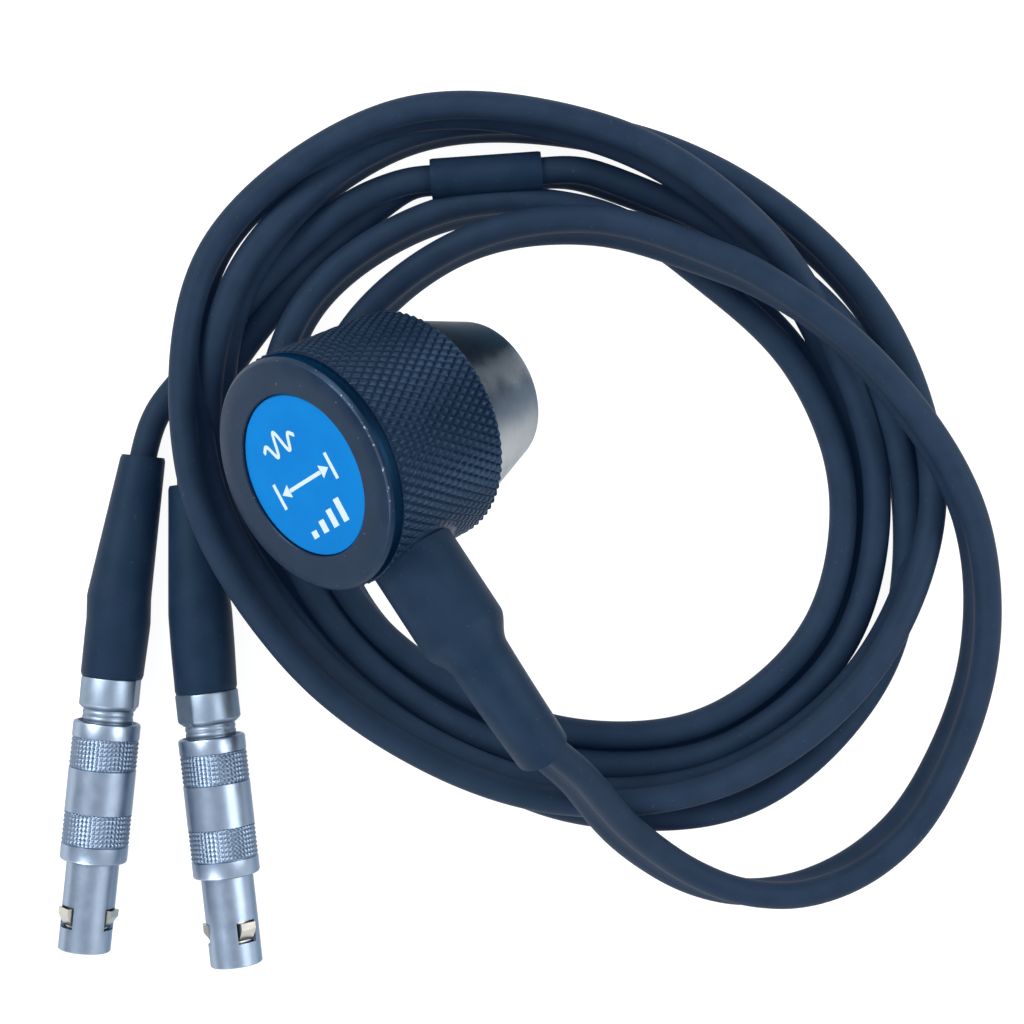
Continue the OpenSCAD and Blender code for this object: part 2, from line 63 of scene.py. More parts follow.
# Head: its own z runs from the contact face to the label, its x is the upper side
LEAN = math.radians(43)
HEAD_X = Vector((math.sin(LEAN), 0, math.cos(LEAN)))
HEAD_Z = Vector((-math.cos(LEAN), 0, math.sin(LEAN)))
HEAD_LEN = 23.9
LABEL_MIDDLE = 23.4
NOSE_LEN = 9.6
BARREL_R = 11
BORE_R = 9.2
BAND_FROM = 22.5
BAND_DEPTH = 0.2
FACE_CHAMFER = 0.4
RIM_CHAMFER = 0.25
RECESS_R = 7.5
LABEL_R = 7.45
LABEL_FLOOR = 23.15
LABEL_FACE = 23.65
CAVITY_TOP = 20.9
NOSE_BASE_R = 10
NOSE_TIP_R = 7.15
TIP_CHAMFER = 0.25
LIP_R = 5.7
LIP_LEN = 2.5
CARRIER_R = 7.2
SPIGOT_END = 14

# Knurls: ridges round the part, their pitch along it, their depth, the share that the groove takes, and
# whether the grooves slant (1) or run along and round the part (0)
HEAD_KNURL = {"around": 78, "pitch": 1.5, "depth": 0.2, "groove": 0.34, "slant": 1}
GRIP_KNURL = {"around": 46, "pitch": 0.435, "depth": 0.12, "groove": 0.5, "slant": 0}
# Columns and rows of the mesh to each ridge
PER_RIDGE = 8
# Painted shade that the barrel's deepest grooves carry in their colour
KNURL_SHADE = 0.65
# Angles round the head, in degrees, between which the chipping and the painted highlight on the end ring's
# edge come in and go out
WEAR_AND_HIGHLIGHT_IN = (-75, -25)
WEAR_AND_HIGHLIGHT_OUT = (25, 45)

# Cable exit: radial to the head, a little above the horizontal
EXIT_STATION = 18.2
EXIT_ROLL = math.radians(8)
RELIEF_FROM = 10.4
RELIEF_R = 4
THICK_TO = 19.6
THIN_FROM = 21.1
RELIEF_BEND_R = 16
RELIEF_BEND = math.radians(37)
RELIEF_WALL = 0.7
RELIEF_NECK = 2.85
RELIEF_TIP = 2.55
RELIEF_TAPER = 0.8
# Distances from the exit's axis between which the barrel's knurl comes in, outside the relief
KNURL_CLEAR = (4.1, 4.9)

# The pair of cables: the radius of each, the width over both, the angle below a cable's middle at which
# the notch between them starts, and half the width that is left between the two notches
CABLE_R = 1.3
PAIR_NOTCH = 30
GROOVE_HALF = 0.92

# Lines of the cables: their step, and how many times each is smoothed
LINE_STEP = 0.6
PAIR_ROUNDS = 14
BRANCH_ROUNDS = 8

# The pair in the relief's end: how far it is followed there, and its lean at both ends of that stretch
START_RUN = 3
START_LEANS = (-24, -26)

# Free loop of the pair, from the relief round the outside and back onto the coil, with the lean of
# the pair in degrees: the upper cable tips away from the coil's middle where it is above zero
LOOP_ROUTE = [
    (1.0, -35.2, 14.4, -30), (1.5, -38.6, 11.6, -33), (2.2, -42.2, 9.1, -34), (3.4, -45.5, 6.9, -33),
    (5.2, -49.2, 4.7, -28), (7.9, -52.7, 3.3, -17), (10.6, -54.8, 2.7, -6), (14.0, -56.4, 2.6, 8),
    (17.6, -57.1, 2.6, 16), (21.4, -57.1, 2.6, 22), (25.9, -56.1, 2.6, 24), (29.4, -54.4, 2.6, 22),
    (32.9, -52.0, 2.6, 19), (36.4, -49.1, 2.6, 16), (39.6, -45.5, 3.1, 13), (42.0, -41.2, 4.8, 10),
    (43.6, -36.9, 6.8, 6), (44.5, -33.0, 8.4, 5), (44.9, -30.2, 9.0, 5), (45.0, -25.9, 9.2, 5),
    (44.5, -21.0, 9.2, 5), (43.5, -16.1, 9.2, 5), (42.3, -12.0, 9.2, 2), (40.4, -7.7, 9.2, 2),
    (38.1, -3.7, 9.1, 8), (35.6, -0.3, 9.0, 17),
]

# Turns of the coil round its centre: distance from it, height and lean of the pair every 30 degrees
COIL_CENTRE = (14.5, -12.3)
COIL_FROM = 60
COIL_STEP = 30
COIL_TURNS = [
    (24.3, 8.1, 20), (25.35, 7.0, 9), (26.5, 3.2, 15), (26.2, 2.5, 28), (24.7, 2.6, 0),
    (23.3, 2.6, -12), (24.0, 2.6, -12), (25.75, 2.6, -12), (26.25, 2.6, -12), (25.0, 2.6, -12),
    (23.85, 2.6, -26), (23.35, 2.6, -26), (26.0, 2.6, 10), (29.5, 2.6, 10), (31.85, 2.6, 10),
    (30.2, 2.6, 10), (27.4, 2.6, 5), (26.0, 2.6, 5), (26.65, 2.6, 0), (28.4, 2.6, 5), (29.0, 2.6, 8),
    (27.85, 2.6, 8), (27.0, 3.0, 16), (28.75, 7.6, 16), (33.0, 7.7, 18), (38.9, 7.6, 8),
    (41.65, 5.5, 3), (36.45, 8.2, 30), (31.45, 7.7, 35), (29.05, 7.6, 30), (29.4, 7.2, 20),
    (30.7, 6.8, 12), (31.6, 7.6, 6), (32.9, 4.6, 4), (32.5, 2.7, 5), (32.05, 2.6, 14), (33.85, 2.6, 10),
    (37.6, 2.7, 5), (38.15, 5.2, 12), (35.1, 4.0, 24), (30.1, 2.6, 10), (28.65, 2.6, 0),
    (31.3, 2.6, -5), (34.05, 2.6, 5), (33.7, 2.6, -8), (30.95, 2.6, -8), (29.35, 2.6, 0),
    (27.85, 2.6, 0), (29.6, 2.8, 8),
]

# Sleeve where the pair splits: its end on the plugs' side, its heading and its length
SLEEVE_FROM = (15.2, 20.4, 3.2)
SLEEVE_HEADING = math.radians(-24)
SLEEVE_LEN = 10.6
SLEEVE_WALL = 0.6
SLEEVE_RIM = 0.06
# How far the pair and the single cables run straight outside the sleeve, and where they stop in it
PAIR_LEAD = 1.5
PAIR_STOP = 4
BRANCH_LEAD = 2
BRANCH_STOP = 3

# Single cables from the boots to the split sleeve
BRANCH_ROUTES = {
    "a": [(-18.6, 13.4, 1.7), (-14.8, 15.1, 1.3), (-8, 18, 1.5), (-4, 19.5, 2.2), (0.5, 20.8, 2.9),
          (5, 21.8, 3.3), (9, 22, 3.8)],
    "b": [(-17.6, 8.3, 2.1), (-15.2, 11, 1.4), (-9.5, 14.4, 1.3), (-3.6, 17.1, 1.3), (2, 19.2, 1.3),
          (8, 20.5, 1.3)],
}
BRANCH_SIDES = {"a": 1, "b": -1}
# Shares of the boot's length at which a single cable is led through it
BOOT_SHARES = (0.3, 0.5, 1)

# Plugs: the tip, the heading, the turn about the axis, the turn of the nut's flats, the boot's
# length, how far its cable end droops and how far it sways to the side along its length
PLUGS = {
    "a": {"tip": (-48.9, -29.1, 3.25), "heading": 56.2, "turn": 75, "flats": 90,
          "boot": 21.4, "droop": 0.9, "sway": [(0, 0), (5.4, 0.1), (7.7, -0.08), (21.4, 0.72)]},
    "b": {"tip": (-36.6, -37.2, 3.25), "heading": 68.4, "turn": 41, "flats": -51,
          "boot": 20, "droop": 1.1, "sway": [(0, 0), (7, 0.24), (20, 0.55)]},
}

# Pieces of a plug, by their distance from its tip along its axis
TUBE_R = 2.5
TUBE_BORE_R = 2.15
TUBE_LEN = 8.6
WINDOW_FROM = 2.2
WINDOW_TO = 4.3
WINDOW_W = 2
GRIP_R = 3.2
GRIP_TO = 22
GRIP_EDGE = 0.25
GRIP_CREST = 0.02
GRIP_BORE_R = 2.76
GRIP_BORE_FROM = 9.4
GRIP_BANDS = [(10.3, 13.2), (17.6, 20.4)]
NECK_R = 2.35
NUT_FROM = 23.2
NUT_TO = 26.3
NUT_R = 3
NUT_FLATS = 5.2
NUT_TAIL_TO = 30.3
NUT_TAIL_R = 2.3
THREAD_R = 2.02
BOOT_R = 3.05
BOOT_START_R = 2.98
BOOT_STRAIGHT = 7.6
BOOT_TIP_R = 2.13
BOOT_RIM = 0.1

# Signs on the label: the line's width, the pulse's middle, half length and height, the gap's middle and
# half length, and the bars' foot, first place, spacing, width, lowest height and rise
STROKE = 0.36
PULSE_AT = (-0.98, 3.5)
PULSE_HALF = 2.5
PULSE_HIGH = 1.15
GAP_AT = (-0.2, -0.5)
GAP_HALF = 4.2
BARS_FOOT = -5.3
BARS = {"from": -2.4, "apart": 1.6, "wide": 0.8, "low": 0.7, "rise": 0.5, "count": 4}

# Floor: half its width in metres, so far out that no view shows its edge
FLOOR_REACH = 8

# Matrix from the row frame's millimetres to its metres
ROW = Matrix.Scale(MM, 4)


def own_place(origin, x_axis, z_axis):
    """Matrix from a piece's own millimetres to the row frame's metres."""
    z_axis = Vector(z_axis).normalized()
    x_axis = Vector(x_axis).normalized()
    turn = Matrix((x_axis, z_axis.cross(x_axis), z_axis)).transposed().to_4x4()
    return ROW @ Matrix.Translation(origin) @ turn


label_low, label_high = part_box("label_disc")
HEAD_TIP = (label_low + label_high) / 2 / MM - LABEL_MIDDLE * HEAD_Z
HEAD = own_place(HEAD_TIP, HEAD_X, HEAD_Z)

EXIT_AT = HEAD_TIP + EXIT_STATION * HEAD_Z
EXIT_DIR = math.sin(EXIT_ROLL) * HEAD_X - math.cos(EXIT_ROLL) * Vector((0, 1, 0))
EXIT_SIDE = Vector((0, 0, 1)).cross(EXIT_DIR).normalized()
EXIT_UP = EXIT_DIR.cross(EXIT_SIDE)


def exit_point(along, up):
    """Point at a distance along the cable exit's axis and at a height over it."""
    return EXIT_AT + along * EXIT_DIR + up * EXIT_UP


def plug_place(plug):
    """Matrix from a plug's own millimetres, along its axis from the tip, to the row frame's metres."""
    heading = math.radians(plug["heading"])
    return own_place(plug["tip"], (0, 0, -1), (math.cos(heading), math.sin(heading), 0))


def plug_point(plug, along):
    """Point on a plug's axis at a distance from its tip."""
    heading = math.radians(plug["heading"])
    return Vector(plug["tip"]) + along * Vector((math.cos(heading), math.sin(heading), 0))


def spread(low, high, count):
    """Evenly spaced numbers from low to high."""
    return [low + (high - low) * i / (count - 1) for i in range(count)]


def smoothstep(low, high, value):
    """0 up to low, 1 from high on and smooth between them."""
    share = min(1, max(0, (value - low) / (high - low)))
    return share * share * (3 - 2 * share)


class Sock:
    """A number that varies over a surface. Python's operators on it add Math nodes."""

    def __init__(self, shop, socket):
        self.shop = shop
        self.socket = socket

    def maths(self, operation, *values):
        return self.shop.node("Math", {"operation": operation}, dict(enumerate(values)))["Value"]

    def __add__(self, other):
        return self.maths("ADD", self, other)

    def __radd__(self, other):
        return self.maths("ADD", other, self)

    def __sub__(self, other):
        return self.maths("SUBTRACT", self, other)

    def __rsub__(self, other):
        return self.maths("SUBTRACT", other, self)

    def __mul__(self, other):
        return self.maths("MULTIPLY", self, other)

    def __rmul__(self, other):
        return self.maths("MULTIPLY", other, self)

    def between(self, low, high):
        """0 below low, 1 above high and smooth between them."""
        ends = {"Value": self, "From Min": low, "From Max": high}
        return self.shop.node("MapRange", {"interpolation_type": "SMOOTHSTEP"}, ends)["Result"]


class Shop:
    """Adds shader nodes to a material or to the world."""

    def __init__(self, tree):
        self.tree = tree

    def socket(self, sockets, key):
        """The socket of that number, identifier or name."""
        if isinstance(key, int):
            return sockets[key]
        for socket in sockets:
            if socket.identifier == key:
                return socket
        return sockets[key]

    def feed(self, socket, value):
        """Links a varying value to a socket, or sets a plain one on it."""
        if isinstance(value, Sock):
            value = value.socket
        if isinstance(value, bpy.types.NodeSocket):
            self.tree.links.new(value, socket)
        elif isinstance(value, tuple) and socket.type == "RGBA" and len(value) == 3:
            socket.default_value = (*value, 1)
        else:
            socket.default_value = value

    def node(self, kind, settings=None, sockets=None):
        """A node of that kind: its settings first, then the values or links of its sockets."""
        made = self.tree.nodes.new("ShaderNode" + kind)
        for key, value in (settings or {}).items():
            setattr(made, key, value)
        for key, value in (sockets or {}).items():
            self.feed(self.socket(made.inputs, key), value)
        return {socket.identifier: Sock(self, socket) for socket in made.outputs}

    def mixed(self, share, first, second):
        """A colour between two, by a share that varies."""
        ends = {"Factor_Float": share, "A_Color": first, "B_Color": second}
        return self.node("Mix", {"data_type": "RGBA"}, ends)["Result_Color"]

    def tinted(self, first, second):
        """A colour multiplied by another."""
        ends = {"Factor_Float": 1, "A_Color": first, "B_Color": second}
        return self.node("Mix", {"data_type": "RGBA", "blend_type": "MULTIPLY"}, ends)["Result_Color"]


class Finish(Shop):
    """A material for one finish."""

    def __init__(self, name, **constants):
        self.material = bpy.data.materials.new(name)
        self.material.use_nodes = True
        super().__init__(self.material.node_tree)
        self.shader = self.tree.nodes["Principled BSDF"]
        for key, value in constants.items():
            self.give(key.replace("_", " "), value)

    def give(self, key, value):
        self.feed(self.shader.inputs[key], value)

    def place(self):
        """Place in the row frame, in millimetres."""
        metres = self.node("TexCoord")["Object"]
        scaled = {"Vector": metres, "Scale": 1 / MM}
        return self.node("VectorMath", {"operation": "SCALE"}, scaled)["Vector"]

    def own_uv(self, around=1, along=1):
        """Place on the piece's own surface, in millimetres, stretched round it and along it."""
        uv = self.node("TexCoord")["UV"]
        scaled = {"Vector": uv, "Vector_001": (around, along, 1)}
        return self.node("VectorMath", {"operation": "MULTIPLY"}, scaled)["Vector"]

    def noise(self, place, scale, detail=2, roughness=0.5):
        values = {"Vector": place, "Scale": scale, "Detail": detail, "Roughness": roughness}
        return self.node("TexNoise", {}, values)["Fac"]

    def mark(self, name):
        """A number that the mesh carries at each of its points."""
        return self.node("Attribute", {"attribute_name": name})["Fac"]

    def bump(self, height, distance):
        values = {"Strength": 1, "Distance": distance * MM, "Height": height}
        self.give("Normal", self.node("Bump", {}, values)["Normal"])


# Painted light: a faint blue glow, though no lamp, that the black parts give off to lift their deepest
# shadows as haze does
PAINTED_SHADE_GLOW = (0.001, 0.0038, 0.011)


def dark_coat(name, deep, pale, rough, grain, dust=0.0):
    """Black rubber or plastic with a cool cast: mottled, softly scuffed and finely grained."""
    finish = Finish(name, IOR=1.22)
    finish.give("Specular Tint", (0.55, 0.9, 1.0))
    # Painted light: a faint glow that lifts the deepest shadows
    finish.give("Emission Color", PAINTED_SHADE_GLOW)
    finish.give("Emission Strength", 1)
    place = finish.place()
    mottle = finish.noise(place, 0.35, 3)
    fine = finish.noise(place, 5, 3)
    specks = finish.noise(place, 2.6, 1).between(0.74, 0.78) * dust
    colour = finish.mixed(mottle.between(0.3, 0.7), deep, pale)
    finish.give("Base Color", finish.mixed(specks, colour, (0.16, 0.2, 0.24)))
    finish.give("Roughness", rough + 0.12 * (mottle - 0.5) + 0.1 * (fine - 0.5))
    finish.bump(fine + 0.6 * finish.noise(place, 14, 2), grain)
    return finish.material


def cable_jacket():
    """Soft rubber of the cables."""
    return dark_coat("cable_jacket", (0.0105, 0.0185, 0.035), (0.0135, 0.0225, 0.043), 0.6, 0.008, 0.1)


def shrink_sleeve():
    """Shrunk plastic of the relief, the boots and the split sleeve."""
    return dark_coat("shrink_sleeve", (0.006, 0.0145, 0.03), (0.0095, 0.019, 0.038), 0.54, 0.012, 0.1)


def anodised_black():
    """Black anodised aluminium: chipped bright, with a painted highlight, where the mesh marks an edge, and
    darkened with painted shade where it marks shade.
    """
    finish = Finish("anodised_black", IOR=1.42)
    finish.give("Specular Tint", (0.34, 0.62, 0.95))
    # Painted light: a faint glow that lifts the deepest shadows
    finish.give("Emission Color", PAINTED_SHADE_GLOW)
    finish.give("Emission Strength", 1)
    place = finish.place()
    mottle = finish.noise(place, 0.5, 3)
    fine = finish.noise(place, 9, 2)
    chips = finish.noise(place, 2.4, 3, 0.6).between(0.58, 0.66)
    # Chips and a painted highlight along the marked edge
    wear_and_highlight = finish.mark("edge").between(0.45, 0.9) * (chips * 0.85 + 0.06)
    shade = finish.mark("shade")
    dust = finish.noise(place, 3.1, 1).between(0.76, 0.8) * 0.4
    colour = finish.mixed(mottle.between(0.3, 0.7), (0.002, 0.006, 0.017), (0.005, 0.011, 0.024))
    dusted = finish.mixed(dust, colour, (0.25, 0.27, 0.3))
    # Painted shade: darker colour and dark metal in the knurl's grooves and on the band, where the mesh
    # marks shade
    sunk = finish.mixed(shade, dusted, (0.003, 0.012, 0.026))
    finish.give("Base Color", finish.mixed(wear_and_highlight, sunk, (0.5, 0.58, 0.68)))
    finish.give("Metallic", (wear_and_highlight + shade).between(0, 1))
    finish.give("Roughness", 0.42 + 0.2 * (mottle - 0.5) - 0.1 * wear_and_highlight)
    finish.bump(fine, 0.01)
    return finish.material


def label_print():
    """Glossy blue print on a thin disc."""
    finish = Finish("label_print", IOR=1.4)
    finish.give("Specular IOR Level", 0.06)
    place = finish.place()
    cloud = finish.noise(place, 0.22, 2)
    grain = finish.noise(place, 11, 2)
    finish.give("Base Color", finish.mixed(cloud, (0.0, 0.12, 0.37), (0.0, 0.165, 0.46)))
    finish.give("Roughness", 0.32 + 0.06 * grain)
    finish.bump(grain, 0.003)
    return finish.material


def label_white():
    """White print of the label's signs."""
    finish = Finish("label_white", IOR=1.5)
    place = finish.place()
    grain = finish.noise(place, 9, 2)
    finish.give("Base Color", finish.mixed(grain, (0.4, 0.5, 0.58), (0.5, 0.6, 0.68)))
    finish.give("Roughness", 0.38 + 0.1 * grain)
    finish.bump(grain, 0.002)
    return finish.material


def turned_steel():
    """Turned steel with light and shade painted across it: darker on one side but for one painted highlight
    band, lighter on the other; fine lines, a soft sparkle and faint stains.
    """
    finish = Finish("turned_steel")
    finish.give("Specular Tint", (0.4, 0.45, 0.5))
    place = finish.place()
    lines = finish.noise(finish.own_uv(0.15, 6), 1.6, 4, 0.7)
    stains = finish.noise(place, 0.45, 4, 0.6)
    sparkle = finish.noise(place, 10, 2)
    # Painted light and shade by place across the nose: darker towards +y with a lighter band, lighter
    # towards -y
    across = finish.node("SeparateXYZ", {}, {"Vector": place})["Y"] + 2.5 * (stains - 0.5)
    band = across.between(-1.8, 0.2) - across.between(0.6, 2.4)
    painted_shadow = finish.mixed(across.between(0.5, 3), (0.15, 0.185, 0.225), (0.05, 0.068, 0.09))
    painted_shade_and_band = finish.mixed(band, painted_shadow, (0.31, 0.345, 0.38))
    painted_light_and_shade = finish.mixed(across.between(-7, -2.4), (0.58, 0.58, 0.575), painted_shade_and_band)
    grey = finish.mixed(0.5 * stains + 0.5 * lines, (0.45, 0.45, 0.45), (1.5, 1.5, 1.5))
    finish.give("Base Color", finish.tinted(painted_light_and_shade, grey))
    finish.give("Metallic", 1.0)
    finish.give("Roughness", 0.33 + 0.16 * (stains - 0.5) + 0.14 * (sparkle - 0.5))
    finish.bump(0.5 * lines + 0.5 * sparkle, 0.008)
    return finish.material


def plated_metal(name, dark, light, rough, grain=0.004):
    """Satin plated metal with soft cloudy stains and fine scratches, with painted shade on its steep sides,
    which face the ground, and in the grooves that the mesh marks.
    """
    finish = Finish(name)
    place = finish.place()
    cloud = finish.noise(place, 0.8, 4, 0.6)
    lines = finish.noise(finish.own_uv(0.15, 6), 1.6, 3, 0.7)
    scratch = finish.noise(finish.own_uv(0.6, 5), 1.5, 3, 0.7).between(0.6, 0.75)
    # Painted shade: steep sides, which face the ground, are darker than those facing up
    facing = finish.node("SeparateXYZ", {}, {"Vector": finish.node("NewGeometry")["Normal"]})["Z"]
    painted_side_shade = finish.mixed(facing.between(0.25, 0.8), (0.3, 0.4, 0.5), (1, 1, 1))
    # Painted shade in the knurl's grooves, where the mesh marks shade
    sunk = finish.mixed(finish.mark("shade"), (1, 1, 1), (0.45, 0.52, 0.58))
    stained_and_shaded = finish.tinted(finish.mixed(cloud, dark, light), painted_side_shade)
    finish.give("Base Color", finish.tinted(stained_and_shaded, sunk))
    finish.give("Metallic", 1.0)
    finish.give("Roughness", rough + 0.14 * (cloud - 0.5) + 0.08 * scratch)
    finish.bump(lines + 0.4 * scratch, grain)
    return finish.material


def plain_stock(name, dark, light, rough, metallic=0.0, scale=1.2, grain=0.006):
    """Finish of a piece inside the head or a plug: mottled in colour and gloss, finely grained."""
    finish = Finish(name, Metallic=metallic)
    place = finish.place()
    mottle = finish.noise(place, scale, 4, 0.6)
    fine = finish.noise(place, 8, 2)
    finish.give("Base Color", finish.mixed(mottle.between(0.25, 0.75), dark, light))
    finish.give("Roughness", rough + 0.2 * (mottle - 0.5) + 0.1 * (fine - 0.5))
    finish.bump(fine, grain)
    return finish.material


def floor_paint():
    """Matt pale studio floor, which glows enough to stay even under the part."""
    finish = Finish("floor_paint", IOR=1.3)
    grain = finish.noise(finish.place(), 0.05, 2)
    finish.give("Base Color", finish.mixed(grain, (0.24, 0.24, 0.24), (0.26, 0.26, 0.26)))
    finish.give("Roughness", 0.9)
    finish.give("Emission Color", (1, 1, 1))
    finish.give("Emission Strength", 0.93)
    return finish.material


JACKET = cable_jacket()
SHRINK = shrink_sleeve()
ANODISED = anodised_black()
STEEL = turned_steel()
PLATE = plated_metal("shell_plate", (0.29, 0.365, 0.47), (0.39, 0.46, 0.56), 0.37)
NUT_PLATE = plated_metal("nut_plate", (0.24, 0.31, 0.39), (0.33, 0.4, 0.48), 0.46)
BRASS = plated_metal("latch_brass", (0.5, 0.48, 0.42), (0.66, 0.62, 0.53), 0.3)


class Skin:
    """Points, faces and texture places of one mesh, in its own millimetres."""

    def __init__(self):
        self.points = []
        self.faces = []
        self.places = []

    def wall(self, rings, stations, girth, loop=False, split=False, skip=None):
        """Faces between rings of points. With loop the last ring meets the first, and split cuts
        each face along the diagonal whose ends lie at heights nearest to each other."""
        start = len(self.points)
        count, columns = rings.shape[:2]
        self.points += rings.reshape(-1, 3).tolist()
        step = girth / columns
        for i in range(count if loop else count - 1):
            n = (i + 1) % count
            low, high = stations[i], stations[i + 1]
            for j in range(columns):
                if skip and skip(i, j):
                    continue
                k = (j + 1) % columns
                corners = [start + i * columns + j, start + i * columns + k,
                           start + n * columns + k, start + n * columns + j]
                uv = [(j * step, low), ((j + 1) * step, low), ((j + 1) * step, high), (j * step, high)]
                if split and split(i, j):
                    self.add(corners[:3], uv[:3])
                    self.add([corners[0], corners[2], corners[3]], [uv[0], uv[2], uv[3]])
                elif split:
                    self.add([corners[0], corners[1], corners[3]], [uv[0], uv[1], uv[3]])
                    self.add(corners[1:], uv[1:])
                else:
                    self.add(corners, uv)
        return start

    def add(self, corners, uv):
        self.faces.append(corners)
        self.places.append(uv)

    def cap(self, first, columns, middle, station):
        """Fan of faces from a ring to a point in its middle."""
        centre = len(self.points)
        self.points.append(list(middle))
        for j in range(columns):
            k = (j + 1) % columns
            self.add([first + j, first + k, centre], [(j, station), (j + 1, station), (j, station + 1)])

    def prism(self, outline, low, high):
        """Closed flat piece from an outline in x and y."""
        first = len(self.points)
        count = len(outline)
        self.points += [[x, y, low] for x, y in outline] + [[x, y, high] for x, y in outline]
        self.add(list(range(first, first + count)), list(outline))
        self.add(list(range(first + count, first + 2 * count)), list(outline))
        for j in range(count):
            k = (j + 1) % count
            corners = [first + j, first + k, first + count + k, first + count + j]
            self.add(corners, [outline[j], outline[k], outline[k], outline[j]])

    def piece(self, name, place, material, slot, replaces=(), body=ROOT, crease=32, marks=None):
        mesh = bpy.data.meshes.new(name)
        mesh.from_pydata(self.points, [], self.faces)
        layer = mesh.uv_layers.new(name="UVMap")
        layer.data.foreach_set("uv", [value for uv in self.places for point in uv for value in point])
        for key, values in (marks or {}).items():
            attribute = mesh.attributes.new(key, "FLOAT", "POINT")
            attribute.data.foreach_set("value", values)
        mesh.transform(place)
        work = bmesh.new()
        work.from_mesh(mesh)
        bmesh.ops.recalc_face_normals(work, faces=work.faces)
        work.to_mesh(mesh)
        work.free()
        mesh.shade_smooth()
        mesh.set_sharp_from_angle(angle=math.radians(crease))
        mesh.materials.append(material)
        made = bpy.data.objects.new(name, mesh)
        bpy.context.scene.collection.objects.link(made)
        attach(made, body)
        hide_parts(*replaces)
        return made


def turned_rings(profile, columns, depth=None):
    """Rings of a solid of revolution from its (z, r) profile, and their stations along it."""
    angles = [2 * math.pi * j / columns for j in range(columns)]
    rings = []
    for z, r in profile:
        sunk = [depth(a, z, r) if depth else 0 for a in angles]
        rings.append([((r - d) * math.cos(a), (r - d) * math.sin(a), z) for a, d in zip(angles, sunk)])
    stations = [0]
    for (z, r), (next_z, next_r) in zip(profile, profile[1:] + profile[:1]):
        stations.append(stations[-1] + math.hypot(next_z - z, next_r - r))
    return np.array(rings), stations


def turned(name, profile, columns, place, material, slot, **rest):
    """Closed ring turned from a profile that never meets the axis."""
    skin = Skin()
    rings, stations = turned_rings(profile, columns)
    girth = 2 * math.pi * max(r for z, r in profile)
    skin.wall(rings, stations, girth, loop=True)
    return skin.piece(name, place, material, slot, **rest)


def knurl_depth(knurl, angle, z, start):
    """Depth below the crest of two crossing families of grooves."""
    turns = knurl["around"] * angle / (2 * math.pi)
    rows = (z - start) / knurl["pitch"]
    slant = knurl["slant"]
    near = min(abs(u - round(u)) for u in (turns + slant * rows, rows - slant * turns))
    return knurl["depth"] * max(0, 1 - near / knurl["groove"])


def even_split(rings):
    """Test for each face's diagonal, which runs along the knurl's grooves."""
    radii = np.hypot(rings[:, :, 0], rings[:, :, 1])
    columns = radii.shape[1]

    def split(i, j):
        n = (i + 1) % len(radii)
        k = (j + 1) % columns
        return abs(radii[i, j] - radii[n, k]) < abs(radii[i, k] - radii[n, j])

    return split


def evened(points, step):
    """Points spaced evenly along a line, by its first three numbers."""
    run = np.r_[0, np.cumsum(np.linalg.norm(np.diff(points[:, :3], axis=0), axis=1))]
    even = np.linspace(0, run[-1], max(4, int(run[-1] / step)))
    return np.stack([np.interp(even, run, column) for column in points.T], axis=1)


def smooth_line(knots, rounds):
    """Curve through knots (rows of numbers), evenly spaced in its first three, then smoothed."""
    knots = np.array(knots, float)
    ends = np.vstack([2 * knots[0] - knots[1], knots, 2 * knots[-1] - knots[-2]])
    points = []
    for a, b, c, d in zip(ends, ends[1:], ends[2:], ends[3:]):
        for t in np.linspace(0, 1, 12, endpoint=False):
            bend = 2 * a - 5 * b + 4 * c - d + t * (3 * (b - c) + d - a)
            points.append(b + 0.5 * t * (c - a + t * bend))
    points = evened(np.array(points + [knots[-1]]), LINE_STEP)
    for _ in range(rounds):
        points[1:-1] = 0.25 * points[:-2] + 0.5 * points[1:-1] + 0.25 * points[2:]
    return evened(points, LINE_STEP)


def line_axes(line):
    """Unit vectors level to a line's left, and up from it."""
    along = np.gradient(line, axis=0)
    along /= np.linalg.norm(along, axis=1)[:, None]
    side = np.cross([0, 0, 1], along)
    side /= np.linalg.norm(side, axis=1)[:, None]
    return side, np.cross(along, side)


def swept(skin, line, sections, lean=None):
    """Tube along a line. Sections are outlines in the line's side and up, and lean turns them about it."""
    side, up = line_axes(line)
    lean = np.radians(np.zeros(len(line)) if lean is None else lean)[:, None]
    x_axis = side * np.cos(lean) + up * np.sin(lean)
    y_axis = up * np.cos(lean) - side * np.sin(lean)
    sections = np.broadcast_to(sections, (len(line), *np.shape(sections)[-2:]))
    rings = line[:, None] + sections[:, :, :1] * x_axis[:, None] + sections[:, :, 1:] * y_axis[:, None]
    stations = np.r_[0, np.cumsum(np.linalg.norm(np.diff(line, axis=0), axis=1)), 0]
    columns = rings.shape[1]
    girth = 2 * math.pi * np.abs(sections).max()
    first = skin.wall(rings, stations, girth)
    skin.cap(first, columns, line[0], stations[0])
    skin.cap(first + (len(line) - 1) * columns, columns, line[-1], stations[-2])


def pair_section():
    """Outline of two round cables, one above the other, with a shallow groove along each side."""
    count = 17
    upper = [math.radians(a) for a in np.linspace(-PAIR_NOTCH, 180 + PAIR_NOTCH, count)]
    outline = [(CABLE_R * math.cos(a), CABLE_R + CABLE_R * math.sin(a)) for a in upper]
    outline.append((-GROOVE_HALF, 0))
    outline += [(-x, -y) for x, y in outline[:count]]
    outline.append((GROOVE_HALF, 0))
    return np.array(outline)


def round_section(radius, columns=20):
    """Outline of a round cable."""
    angles = np.arange(columns) * 2 * math.pi / columns
    return np.stack([radius * np.cos(angles), radius * np.sin(angles)], axis=1)


def stadium(half_width, half_height, columns=40):
    """Outline with round ends above and below, or a circle where both halves are the same."""
    outline = []
    for j in range(columns):
        a = 2 * math.pi * (j + 0.5) / columns
        shift = (half_height - half_width) * (1 if math.sin(a) > 0 else -1)
        outline.append((half_width * math.cos(a), half_width * math.sin(a) + shift))
    return outline


